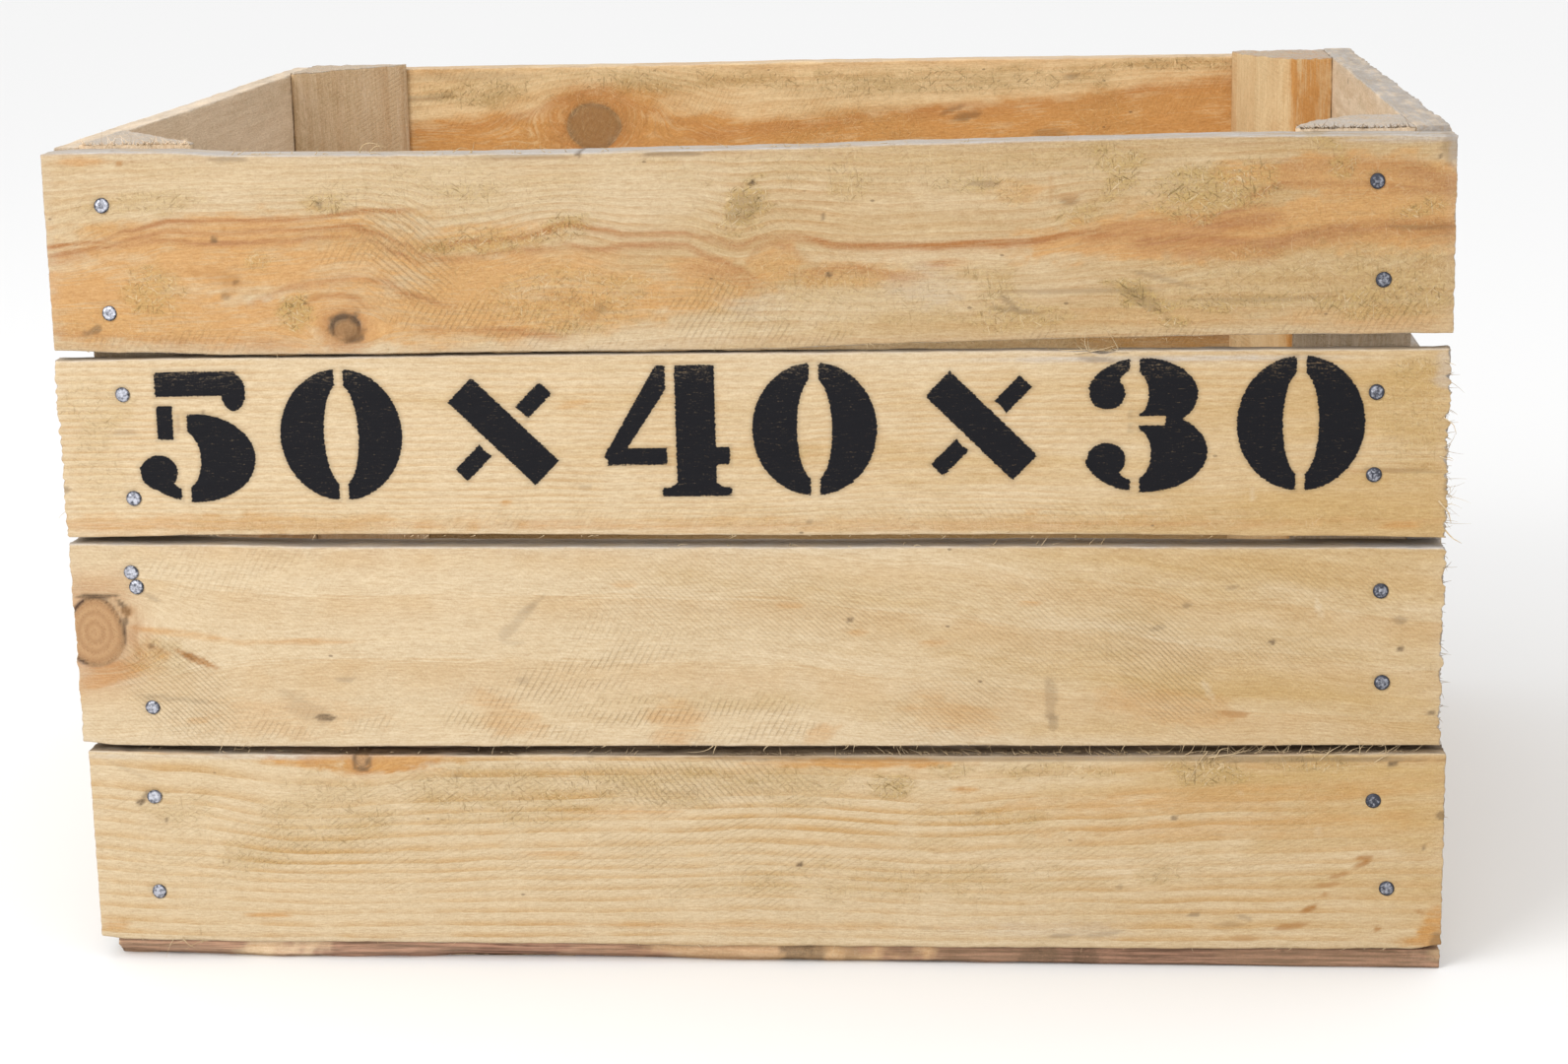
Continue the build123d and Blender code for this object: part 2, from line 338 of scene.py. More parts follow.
def strands(paths, radius):
    """The points and quads of tapered four-sided strands along their middle lines."""
    run = np.gradient(paths, axis=1)
    run /= np.linalg.norm(run, axis=2)[..., None] + 1e-9
    side = np.cross(run, SOME_WAY)
    side /= np.linalg.norm(side, axis=2)[..., None] + 1e-9
    thick = radius * np.linspace(1, STRAND_TIP, STRAND_RINGS)[None, :, None]
    other = np.cross(run, side) * thick
    side = side * thick
    corners = np.stack([paths + side, paths + other, paths - side, paths - other], 2)
    number = np.arange(corners.size // 3).reshape(corners.shape[:3])
    ahead = np.roll(number, -1, axis=2)
    walls = np.stack([number[:, :-1], ahead[:, :-1], ahead[:, 1:], number[:, 1:]], -1).reshape(-1, 4)
    caps = np.concatenate([number[:, 0, ::-1], number[:, -1]])
    return corners.reshape(-1, 3), np.concatenate([walls, caps])


def with_strands(points, quads, looks, paths, radius, stain):
    """A board's mesh with loose fibres added along their middle lines."""
    more, faces = strands(paths, radius)
    plain = {"knot": FAR_FROM_KNOTS, "paint": UNPAINTED, "warmth": 0.15, "stain": stain}
    joined = {}
    for key, values in looks.items():
        extra = more if values.ndim == 2 else np.full(len(more), plain.get(key, 0.0))
        joined[key] = np.concatenate([values, extra])
    return np.concatenate([points, more]), np.concatenate([quads, faces + len(points)]), joined


# ---------------------------------------------------------------- what the wood is like

@dataclass
class Look:
    """What one board is like. Places along and across it are in the row frame, in mm."""

    seed: int
    pith: tuple = (-60.0, 70.0)  # the tree's centre: across from the middle, and in from the outer face
    ring: float = 3.0  # mm between growth rings
    rings: float = 0.5  # how strongly they show
    flow: tuple = ()  # (along, rise) points that the grain follows
    flow_level: float = None  # where across the board it follows them best, if not in the middle
    flow_reach: float = 40.0  # how far from there it still does
    knots: tuple = ()  # (along, across, half length, half height, how dark the rim is)
    streaks: tuple = ()  # ([(along, across), ...], half width, strength) of orange heartwood
    spots: dict = field(default_factory=dict)  # the ovals of each of MARKS, as for soft_spots
    saw: tuple = (60.0, 1.9, 0.3)  # (angle in degrees, mm between saw marks, strength)
    saw_across: tuple = (-42.0, 2.1, 0.15)  # the same, for the marks that cross them
    fuzz: float = 0.3  # how furry the surface is
    warmth: float = 0.3  # how tan the wood is
    tan_and_shade_slant: float = 0.35  # how much tanner and darker it is at its far end than in the middle: partly the wood's own tone, partly painted shade where the light falls off
    grey: float = 0.15  # how weathered it is
    arris: float = 0.6  # the radius of its edges
    ragged: tuple = (0.3, 0.3)  # how torn its low and high ends are
    lower: tuple = ()  # (along, rise) points of how the lower edge leaves the straight CAD edge
    upper: tuple = ()  # the same, for the upper edge
    upper_face_darkening: float = 0.1  # how much darker the upper face is made, in patches of the stain colour
    back_slope: float = None  # how far in the upper face starts to slope down to the back
    chipped: float = 0.0  # how much is chipped off the upper outer edge
    wane: tuple = ()  # (along, how high, how deep) points of a bark edge missing from the lower corner
    fringes: tuple = ()  # (edge, start, stop, count, length, how dirty) of loose fibres
    top_fringes: tuple = ()  # (count, length, how dirty) of loose fibres round the top of a post
    hairs: tuple = ()  # (radius, [(along, across, depth), ...]) of single loose fibres
    wander: float = 1.4  # how far the grain strays of itself


SMALLEST_MARK = 0.95  # half size in mm, near the mesh step
MARKS = {  # how soft the edge of each kind of spot is
    "amber": 0.8, "fuzz": 0.6, "grey": 0.9, "pale": 0.9, "stain": 0.4, "rust": 0.45, "bark": 0.5,
    "hatch": 0.8, "scratch": 0.8,
}
FAR_FROM_KNOTS = 6.0  # a knot value, where a knot's rim is at 1
RIM_WIDTH = 0.9  # of a knot's dark rim
STREAK_FADE = 7.0  # mm on each side of a streak's end in which it fades


def rise_along(points, values):
    """The height of a line of (place, height) points, or nothing if it has none."""
    return curve_through(points, values) if len(points) else np.zeros(len(values))


def around_knots(place, look):
    """How each point lies to the knots.

    Gives the height that the grain there comes from, once it has flowed round the knots, then how near
    the nearest knot is, from 0 at its middle to 1 at its rim, and then how dark its rim is.
    """
    across = place[:, 1].copy()
    nearest = np.full(len(place), FAR_FROM_KNOTS)
    rim = np.zeros(len(place))
    for i, (s, t, half_length, half_height, darkness) in enumerate(look.knots):
        ds, dt = place[:, 0] - s, place[:, 1] - t
        rough = 1 + 0.09 * noise(place, (half_length, half_height, 9.0), look.seed + 40 + i)
        away = np.hypot(ds / half_length, dt / half_height) * rough
        nearest = np.minimum(nearest, away)
        width = RIM_WIDTH / half_height
        patchy = 0.35 + 0.65 * ramp(noise(place, (5, 5, 5), look.seed + 50 + i), -0.6, 0.1)
        rim = np.maximum(rim, darkness * patchy * np.exp(-(((away - 1 + width) / width) ** 2)))
        reach = np.maximum((ds / (2.3 * half_length)) ** 2 + (dt / half_height) ** 2, 1.0)
        across -= dt / reach
    return across, nearest, rim


def soft_spots(place, spots, softness, seed):
    """0 to 1 at each point, from soft ovals with a broken outline.

    Each is (along, across, half length, half height, angle in degrees, strength).
    """
    clear = np.ones(len(place))
    rough = 0.34 * noise(place, (9, 3, 6), seed) + 0.24 * noise(place, (3, 1.3, 3), seed + 1)
    rough += 0.12 * noise(place, (1.3, 0.9, 2), seed + 2)
    for s, t, half_length, half_height, angle, strength in spots:
        turn = math.radians(angle)
        half_length, half_height = max(half_length, SMALLEST_MARK), max(half_height, SMALLEST_MARK)
        broken = rough * min(1.0, half_height / 2.5, 7.0 / half_height)
        ds, dt = place[:, 0] - s, place[:, 1] - t
        u = ds * math.cos(turn) + dt * math.sin(turn)
        v = dt * math.cos(turn) - ds * math.sin(turn)
        depth = 1.0 + broken - np.hypot(u / half_length, v / half_height)
        clear *= 1 - strength * ramp(depth, -softness / 2, softness / 2)
    return 1 - clear


def streak_strength(place, look):
    """0 to 1 at each point, from the streaks of heartwood: crisp above and soft below."""
    strongest = np.zeros(len(place))
    along = place[:, 0]
    drift = 0.8 * noise(place, (26, 5, 5), look.seed + 3) + 0.3 * noise(place, (7, 3, 5), look.seed + 4)
    for i, (points, half_width, strength) in enumerate(look.streaks):
        (first, _), (last, _) = points[0], points[-1]
        inside = ramp(along, first - STREAK_FADE, first + STREAK_FADE)
        inside *= ramp(-along, -last - STREAK_FADE, -last + STREAK_FADE)
        inside *= 0.72 + 0.28 * noise_along(along, 17, look.seed + 60 + i)
        off = place[:, 1] - curve_through(points, along) + drift
        off = np.where(off > 0, off / (0.6 * half_width), off / (1.3 * half_width))
        strongest = np.maximum(strongest, strength * inside * np.exp(-(off**2)))
    return strongest


def saw_marks(place, marks, seed):
    """Which saw mark each point is on."""
    angle, spacing, _ = marks
    turn = math.radians(angle)
    aside = place[:, 0] * math.sin(turn) - place[:, 1] * math.cos(turn)
    shaken = 0.8 * noise(place, (50, 40, 40), seed) + 0.35 * noise(place, (12, 12, 12), seed + 1)
    return aside / spacing + shaken


def grain_lines(place, look, middle):
    """As around_knots, with the grain also following the board's flow and straying of itself."""
    across, knot, rim = around_knots(place, look)
    level = middle if look.flow_level is None else look.flow_level
    fade = np.exp(-(((place[:, 1] - level) / look.flow_reach) ** 2))
    across = across - rise_along(look.flow, place[:, 0]) * fade
    stray = noise(place, (70, 30, 30), look.seed) + 0.3 * noise(place, (24, 9, 9), look.seed + 1)
    return across + look.wander * stray, knot, rim


def wood_attributes(place, look, middle, ends, flat_depth):
    """What the wood material needs at each point.

    place is (along, across, depth), middle is the height of the board's middle, ends is 1 on sawn-off
    ends, and flat_depth is 1 on the wide faces, where saw marks show.
    """
    seed = look.seed
    across, knot, rim = grain_lines(place, look, middle)
    radius = np.hypot(across - middle - look.pith[0], place[:, 2] - look.pith[1])
    spots = {
        name: soft_spots(place, look.spots.get(name, ()), softness, seed + 100 + 5 * i)
        for i, (name, softness) in enumerate(MARKS.items())
    }
    patchy = 0.45 + 0.55 * ramp(noise(place, (34, 20, 20), seed + 12), -0.4, 0.6)
    worn = ramp(noise(place, (60, 22, 22), seed + 11), -0.5, 0.5)
    clear = (0.75 + 0.35 * noise(place, (80, 14, 30), seed + 14)) * (1 - 0.6 * spots["pale"])
    # the slant along the board is partly painted shade: the colour gets tanner and darker towards the far
    # end, where the light falls off
    tan = look.warmth + look.tan_and_shade_slant * place[:, 0] / 250 + 0.2 * noise(place, (90, 18, 30), seed + 13)
    shift = np.array([seed * 131.0, seed * 57.0, seed * 23.0])
    return {
        "grain": np.stack([place[:, 0], across, place[:, 2]], -1) + shift,
        "place": place + shift,
        "ring": radius / look.ring + 0.5 * noise_along(radius, 9.0, seed + 2),
        "rings": look.rings * clear,
        "heart": streak_strength(place, look),
        "amber": spots["amber"],
        "knot": knot,
        "rim": rim,
        "stain": spots["stain"],
        "rust": spots["rust"],
        "bark": spots["bark"],
        "saw": saw_marks(place, look.saw, seed + 5),
        "saw_depth": flat_depth * np.clip(look.saw[2] * worn + spots["hatch"], 0, 1),
        "scratch": saw_marks(place, look.saw_across, seed + 15),
        "scratch_depth": flat_depth * np.clip(look.saw_across[2] * worn + spots["scratch"], 0, 1),
        "fuzz": np.clip(look.fuzz * patchy + spots["fuzz"], 0, 1),
        # warmth holds the wood's own tone and, through the slant, painted shade towards the far end
        "warmth": tan - 0.5 * spots["pale"],
        "greyed": spots["grey"],
        "end": ends,
        "paint": np.full(len(place), UNPAINTED),
        "sprayed": ramp(place[:, 1], MARK_FOOT + THINNER[0], MARK_FOOT + THINNER[1]),
    }


# ---------------------------------------------------------------- boards

SIDES = {  # axis along, axis across, axis out, and which way the outer face looks
    "front_slat": (0, 2, 1, -1),
    "back_slat": (0, 2, 1, 1),
    "left_end_slat": (1, 2, 0, -1),
    "right_end_slat": (1, 2, 0, 1),
    "bottom_slat": (0, 1, 2, -1),
}


def node_points(node):
    """A CAD node's points in mm."""
    mesh = frame["nodes"][node].data
    points = np.zeros(len(mesh.vertices) * 3)
    mesh.vertices.foreach_get("co", points)
    return points.reshape(-1, 3) / MM


def slat_outline(node, along, across):
    """A slat's tips, and its low and high edge at each tip."""
    points = node_points(node)
    low, high = points[:, along].min(), points[:, along].max()
    at_low = points[points[:, along] < low + 0.5][:, across]
    at_high = points[points[:, along] > high - 0.5][:, across]
    return (low, high), (at_low.min(), at_high.min()), (at_low.max(), at_high.max())


def edge_wobble(along, seed):
    """How far a sawn edge strays from straight."""
    slow = 0.9 * noise_along(along, 120, seed) + 0.35 * noise_along(along, 31, seed + 1)
    fast = 0.12 * noise_along(along, 2.3, seed + 3)
    return EDGE_WOBBLE * (slow + 0.2 * noise_along(along, 7, seed + 2) + fast)


NAIL_GROUPS = {  # the way the heads in each group face, and how dark the steel is
    "nails_front_left": ((0, -1, 0), 0.45),
    "nails_front_right": ((0, -1, 0), 0.95),
    "nails_back_left": ((0, 1, 0), 0.6),
    "nails_back_right": ((0, 1, 0), 0.4),
    "nails_left_end_front": ((-1, 0, 0), 0.5),
    "nails_left_end_back": ((-1, 0, 0), 0.8),
    "nails_right_end_front": ((1, 0, 0), 0.7),
    "nails_right_end_back": ((1, 0, 0), 0.3),
    "nails_bottom_left": ((0, 0, -1), 0.9),
    "nails_bottom_right": ((0, 0, -1), 0.9),
}
NAIL_LENGTH = 40.0
HEAD_RADIUS = 2.8
SHANK_RADIUS = 1.25
DENT_DEPTH = 0.5
DENT_REACH = 1.3  # beyond the head
EDGE_WOBBLE = 0.32  # about how far a sawn edge strays
FIBRE_RADIUS = 0.17
PAINT_REACH = 1.0  # how deep the paint goes round an edge
RIM_WEAR = 0.9  # the top of a slat's face, which weathers like its upper edge
EDGE_WEAR = 6.0  # how far in from its edges a slat is greyer
TORN_REACH = (0.3, 2.5)  # from a tip: where torn fibres start to stand out less, and where they stop
CHIP_HEIGHT = 2.5  # chips reach this far down from the upper edge
CHIP_DEPTH = 3.0  # and this far in from the outer face
BACK_FALL = 0.45  # the fall of an upper edge that slopes down to the back, for each mm inwards


def head_places(group):
    """The middle of each head in a group of nails, found from the nails' points."""
    out = np.array(NAIL_GROUPS[group][0], float)
    points = node_points(group)
    reach = points @ out
    tips = points[reach < reach.max() - NAIL_LENGTH + 0.2]
    return np.unique(np.round(tips, 1), axis=0) + out * NAIL_LENGTH


def dents(place, heads, along, across):
    """How far the wood is pressed in round the nail heads."""
    deep = np.zeros(len(place))
    for head in heads:
        away = np.hypot(place[:, 0] - head[along], place[:, 1] - head[across])
        deep = np.maximum(deep, DENT_DEPTH * (1 - ramp(away, HEAD_RADIUS, HEAD_RADIUS + DENT_REACH)))
    return deep


STEP_SHARES = (1.15, 0.85, 1.4)  # the mesh step along, across and through a slat, as shares of its step
NEAR_EDGES = (0.0, 0.4, 0.9, 1.6)  # and the places of its closer steps, from each edge


class Slat:
    """A sawn board in the place of its CAD node, made of (along, across, depth) points."""

    def __init__(self, node, look, step):
        self.node = node
        self.look = look
        self.along, self.across, self.out, self.way = SIDES[node.rsplit("_", 1)[0]]
        self.tips, bottom, top = slat_outline(node, self.along, self.across)
        low, high = (np.array(corner)[self.out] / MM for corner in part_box(node))
        self.thick = high - low
        self.outer = high if self.way > 0 else low
        self.width = (top[0] + top[1] - bottom[0] - bottom[1]) / 2
        self.middle = (bottom[0] + bottom[1] + top[0] + top[1]) / 4
        spans = (self.tips, (0.0, self.width), (0.0, self.thick))
        axes = [steps(*span, share * step, NEAR_EDGES) for span, share in zip(spans, STEP_SHARES)]
        self.lattice, self.quads = box_lattice(*axes)
        self.lower = self.edge(bottom, look.lower, look.seed + 20)
        self.upper = self.edge(top, look.upper, look.seed + 30)
        self.place = self.lattice.copy()
        self.place[:, 1] = self.lower + self.lattice[:, 1] / self.width * (self.upper - self.lower)
        self.flat = ((self.lattice[:, 2] <= 0) | (self.lattice[:, 2] >= self.thick)).astype(float)

    def edge(self, heights, rise, seed):
        """The height of a long edge beside each point, from its heights at the two tips."""
        at = self.lattice[:, 0]
        share = (at - self.tips[0]) / (self.tips[1] - self.tips[0])
        straight = heights[0] + (heights[1] - heights[0]) * share
        return straight + rise_along(rise, at) + edge_wobble(at, seed)

    def looks(self):
        """What the wood material needs at each point."""
        look, place, seed = self.look, self.place, self.look.seed
        at, up, _ = self.lattice.T
        ends = ((at <= self.tips[0]) | (at >= self.tips[1])).astype(float)
        looks = wood_attributes(place, look, self.middle, ends, self.flat)
        from_edge = np.minimum(up, self.width - up)
        from_edge = np.minimum(from_edge, np.minimum(at - self.tips[0], self.tips[1] - at))
        rim = np.maximum(1 - ramp(self.upper - place[:, 1], 0.0, RIM_WEAR), 1 - self.flat)
        weather = look.grey * (0.3 + 2.4 * rim + 0.3 * (1 - ramp(from_edge, 0, EDGE_WEAR)))
        looks["greyed"] = np.clip(weather + looks["greyed"], 0, 1)
        # the upper face is darkened in patches with the stain colour
        top_face = (1 - self.flat) * (up > self.width / 2)
        patchy = 0.5 * noise(place, (24, 3, 3), seed + 16)
        dirt = 0.6 + patchy + 0.4 * noise(place, (6, 1.5, 1.5), seed + 17)
        looks["stain"] = np.maximum(looks["stain"], np.clip(look.upper_face_darkening * dirt, 0, 1) * top_face)
        if self.node == MARKED_NODE:
            depth = mark_depth(place[:, 0], place[:, 1])
            looks["paint"] = np.where(self.lattice[:, 2] < PAINT_REACH, depth, UNPAINTED)
        return looks

    def shaped(self):
        """The points with eased arrises, torn ends, uneven faces and dents round the nails."""
        look, place, seed = self.look, self.place, self.look.seed
        radius = look.arris * (1 + 0.55 * noise_along(place[:, 0] + 3 * place[:, 2], 9, seed + 33))
        none = np.zeros(len(place))
        low = np.stack([none + self.tips[0], self.lower, none], -1)
        high = np.stack([none + self.tips[1], self.upper, none + self.thick], -1)
        shaped = eased(place, low, high, radius)
        tear = torn(place, (2.1, 2.6), (0.8, 1.2), 0.6, seed)
        for way, tip, amount in zip((-1, 1), self.tips, look.ragged):
            near = 1 - ramp(np.abs(place[:, 0] - tip), *TORN_REACH)
            shaped[:, 0] += way * amount * near * tear
        relief = 0.07 * noise(place, (9, 4, 4), seed + 37) + 0.05 * noise(place, (3.4, 2.0, 2.0), seed + 38)
        bow = 0.3 * noise(place * (1, 1, 0), (190, 60, 50), seed + 39)
        outer_half = self.lattice[:, 2] < self.thick / 2
        shaped[:, 2] += bow + relief * self.flat
        shaped[:, 2] += dents(place, self.heads(), self.along, self.across) * outer_half
        shaped[:, 1] += 0.12 * (1 - self.flat) * noise(place, (7, 1.2, 1.4), seed + 41)
        self.wear(shaped)
        return shaped

    def heads(self):
        """The middles of the nail heads that this slat's outer face can have."""
        groups = [group for group, (facing, _) in NAIL_GROUPS.items() if facing[self.out] == self.way]
        return [head for group in groups for head in head_places(group)]

    def wear(self, shaped):
        """Chip the points' upper outer edge, slope the upper face, and take off the bark edge."""
        look, place, depth, seed = self.look, self.place, self.lattice[:, 2], self.look.seed
        if look.chipped:
            chips = noise(place, (4.5, 3, 6), seed + 45) + 0.7 * noise(place, (1.8, 2, 4), seed + 46)
            near = ramp(place[:, 1] - self.upper, -CHIP_HEIGHT, 0.0) * (depth < CHIP_DEPTH)
            shaped[:, 2] += look.chipped * near * (0.4 + chips)
        if look.back_slope:
            start = look.back_slope * (1 + 0.2 * noise_along(place[:, 0], 12, seed + 44))
            fall = BACK_FALL * np.maximum(depth - start, 0)
            shaped[:, 1] = np.minimum(shaped[:, 1], self.upper - fall)
        if look.wane:
            up = curve_through([(x, rise) for x, rise, _ in look.wane], self.lattice[:, 0])
            deep = curve_through([(x, inward) for x, _, inward in look.wane], self.lattice[:, 0])
            uneven = 1 + 0.25 * noise(place, (14, 9, 2), seed + 43)
            missing = np.clip(1 - depth / up, 0, 1) ** 0.7 * deep * uneven
            shaped[:, 1] = np.maximum(shaped[:, 1], self.lower + missing)

    def fringe_paths(self, rng, edge, start, stop, count, length):
        """Middle lines of the loose fibres along one stretch of one edge."""
        at = self.lattice[:, 0]
        if edge in ("upper", "lower"):
            line = self.upper if edge == "upper" else self.lower
            near_start, near_stop = (line[np.abs(at - x).argmin()] for x in (start, stop))
            way = (rng.choice([-1, 1]), 0.55 if edge == "upper" else -0.55, -0.25)
            ends = (start, near_start, 0.1), (stop, near_stop, 0.1)
            paths = loose_paths(rng, count, *ends, way, length, 0.55)
            paths[..., 2] += rng.uniform(0, 0.3 * self.thick if edge == "upper" else 0.3, (count, 1))
            return paths
        tip, reach = (at.min(), -1) if edge == "low end" else (at.max(), 1)
        paths = loose_paths(rng, count, (tip, start, 0), (tip, stop, 0), (reach, -0.25, 0), length, 0.35)
        paths[..., 2] += rng.uniform(0, self.thick, (count, 1))
        return paths

    def build(self):
        """Make the board's mesh."""
        mesh = self.shaped(), self.quads, self.looks()
        for edge, start, stop, count, length, dirt in self.look.fringes:
            rng = np.random.default_rng([self.look.seed, count, int(abs(start) * 7)])
            paths = self.fringe_paths(rng, edge, start, stop, count, length)
            mesh = with_strands(*mesh, paths, FIBRE_RADIUS * rng.uniform(0.7, 1.4), dirt)
        for thickness, line in self.look.hairs:
            mesh = with_strands(*mesh, drawn_path(line), thickness, 0.0)
        points, quads, looks = mesh
        world = np.zeros_like(points)
        world[:, self.along] = points[:, 0]
        world[:, self.across] = points[:, 1]
        world[:, self.out] = self.outer - self.way * points[:, 2]
        finished(self.node, world, quads, looks)


def torn(place, coarse, fine, share, seed):
    """How far the fibres at a board's end stand out: coarse tufts and, for a share, fine ones."""
    fibres = place * (0, 1, 1)
    return noise(fibres, (9, *coarse), seed + 35) + share * noise(fibres, (9, *fine), seed + 36)


def finished(node, world, quads, looks):
    """Make the mesh that stands in the place of a CAD node."""
    piece = mesh_piece(f"{node}_wood", world, outward(world, quads), looks)
    slot = SHOWN_SLOTS[node]
    piece.data.materials.append(MATERIALS[slot])
    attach(piece, "root")
    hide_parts(node)


POST_FACES = {  # width of the flat at the far end of the leg along Y, and bulge of the slanted face
    "corner_post_front_left": (2.5, 0.0),
    "corner_post_front_right": (15.0, 4.0),
    "corner_post_back_left": (2.5, 0.0),
    "corner_post_back_right": (18.0, 4.5),
}
POST_TIP = 2.5  # how deep a post is at its full width, before it narrows
NEAR_TIPS = (0.0, 0.5, 1.2, 2.2)  # the places of a post's closer mesh steps, from its foot and head
NEAR_SIDES = (0.0, 0.015, 0.035)  # from its sides, as shares of its width
NEAR_FACES = (0.0, 0.5, 1.2, POST_TIP)  # and from its front and back


def post(node, look, step):
    """A split or sawn corner post in the place of its CAD node."""
    low, high = (np.array(corner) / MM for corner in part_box(node))
    across, deep, _ = high - low
    foot, head = low[2], high[2]
    a = steps(foot, head, step, NEAR_TIPS)
    b = steps(0.0, 1.0, step / across, NEAR_SIDES)
    c = steps(0.0, deep, step, NEAR_FACES)
    lattice, quads = box_lattice(a, b, c)
    width = post_width(node, lattice, across, deep, look.seed)
    place = np.stack([lattice[:, 0], lattice[:, 1] * width, lattice[:, 2]], -1)
    ends = ((lattice[:, 0] <= foot) | (lattice[:, 0] >= head)).astype(float)
    looks = wood_attributes(place, look, 0.0, ends, 1 - ends)
    looks["greyed"] = np.clip(looks["greyed"] + look.grey + 0.5 * ends, 0, 1)
    shaped = post_shape(place, lattice, (foot, head), width, deep, look)
    mesh = shaped, quads, looks
    rng = np.random.default_rng(look.seed)
    for count, length, dirt in look.top_fringes:
        start, stop = (head - 0.6, 1.5, 0.2), (head - 0.6, across - 1, 0.2)
        paths = loose_paths(rng, count, start, stop, (1, 0.1, -0.9), length, 0.5)
        mesh = with_strands(*mesh, paths, 1.3 * FIBRE_RADIUS, dirt)
    points, quads, looks = mesh
    world = np.zeros_like(points)
    world[:, 0] = low[0] + points[:, 1] if "left" in node else high[0] - points[:, 1]
    world[:, 1] = low[1] + points[:, 2] if "front" in node else high[1] - points[:, 2]
    world[:, 2] = points[:, 0]
    finished(node, world, quads, looks)


def post_width(node, lattice, across, deep, seed):
    """How wide the post is beside each point: it narrows away from the long side of the crate."""
    flat_width, bulge = POST_FACES[node]
    down = np.clip((lattice[:, 2] - POST_TIP) / (deep - POST_TIP), 0, 1)
    width = across + (flat_width - across) * down + 4.4 * bulge * down * (1 - down)
    return width + 0.5 * ramp(down, 0, 0.2) * noise_along(lattice[:, 0], 60, seed + 20)


def post_shape(place, lattice, tips, width, deep, look):
    """A post's points with eased edges, a torn top and an uneven slanted face."""
    seed = look.seed
    radius = look.arris * (1 + 0.5 * noise_along(place[:, 0] + 3 * place[:, 2], 11, seed + 33))
    none = np.zeros(len(place))
    low = np.stack([none + tips[0], none, none], -1)
    high = np.stack([none + tips[1], width, none + deep], -1)
    shaped = eased(place, low, high, radius)
    near = 1 - ramp(tips[1] - place[:, 0], 0.2, 2.0)
    shaped[:, 0] += near * (0.3 * torn(place, (1.6, 1.6), (0.7, 0.7), 0.7, seed) - 0.25)
    slanted = (lattice[:, 1] > 0.96) & (place[:, 2] > POST_TIP)
    uneven = 0.25 * noise(place, (30, 5, 5), seed + 37) + 0.12 * noise(place, (9, 2, 2), seed + 38)
    shaped[:, 1] += slanted * uneven
    return shaped


# ---------------------------------------------------------------- nails

NAIL_SIDES = 26
NAIL_PROFILE = [  # (radius, height from the head's face)
    (0.7, 0.10), (1.4, 0.07), (2.0, 0.02), (2.45, -0.06), (2.7, -0.22), (HEAD_RADIUS, -0.45),
    (2.76, -0.8), (2.4, -1.1), (SHANK_RADIUS, -1.4), (SHANK_RADIUS, 4 - NAIL_LENGTH), (0.3, -NAIL_LENGTH),
]
HEAD_LIFT = -0.35  # the wood is pressed in, so a head sits this far from the CAD head's face
HEAD_DOME = 0.1  # the middle of a head is this far above its face
NAIL_POINT = 0.2  # and the point is this far beyond the shank
FLATTEST = 0.93  # the narrow width of the least round head, as a share of its full width
HEAD_TILT = 0.035  # radians
HAMMERED = 0.13  # how uneven a head's face is
RIM_SHADE = 0.45  # painted shade: how much darker a head's colour is at its edge and below


def nail_group(group, seed):
    """A group of hand-driven nails: each head is a little out of round, dented and tilted."""
    rng = np.random.default_rng(seed)
    facing, darkness = NAIL_GROUPS[group]
    points, faces, oxide_and_shade = [], [], []
    # painted shade at each head's rim and underside, and a little painted light at the middle of its face
    shade = [RIM_SHADE if radius > 0.85 * HEAD_RADIUS else 0.0 for radius, _ in NAIL_PROFILE]
    shade = np.array([value for value in shade for _ in range(NAIL_SIDES)] + [-0.1, 0.0])
    for head in head_places(group):
        local = nail_points(rng, seed)
        tilt = Euler((rng.normal(0, HEAD_TILT), rng.normal(0, HEAD_TILT), 0)).to_matrix()
        turn = Vector(facing).to_track_quat("Z", "Y").to_matrix() @ tilt
        faces += nail_faces(sum(len(p) for p in points))
        points.append(local @ np.array(turn).T + head + np.array(facing) * HEAD_LIFT)
        oxide_and_shade += (darkness * rng.uniform(0.7, 1.15) + shade).tolist()
    mesh = bpy.data.meshes.new(group)
    mesh.from_pydata((np.concatenate(points) * MM).tolist(), [], faces)
    mesh.attributes.new("oxide_and_shade", "FLOAT", "POINT").data.foreach_set("value", np.array(oxide_and_shade, np.float32))
    mesh.shade_smooth()
    piece = bpy.data.objects.new(f"{group}_steel", mesh)
    bpy.context.scene.collection.objects.link(piece)
    mesh.materials.append(MATERIALS["nail_steel"])
    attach(piece, "root")
    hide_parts(group)


def nail_points(rng, seed):
    """One nail's points, with the head's face at 0 and the shank below it."""
    turns = np.arange(NAIL_SIDES) * 2 * math.pi / NAIL_SIDES
    squash, lean = rng.uniform(FLATTEST, 1.0), rng.uniform(0, 2 * math.pi)
    offset = rng.uniform(0, 500, 3)
    rings = []
    for radius, height in NAIL_PROFILE:
        uneven = 1 - (1 - squash) * np.cos(turns - lean) ** 2 if radius > SHANK_RADIUS else 1.0
        x, y = radius * uneven * np.cos(turns), radius * uneven * np.sin(turns)
        ring = np.stack([x, y, np.full(NAIL_SIDES, height)], -1)
        if height > -0.5:
            ring[:, 2] += HAMMERED * noise(ring + offset, (1.3, 1.3, 9), seed)
        rings.append(ring)
    return np.concatenate([*rings, [[0, 0, HEAD_DOME], [0, 0, -NAIL_LENGTH - NAIL_POINT]]])


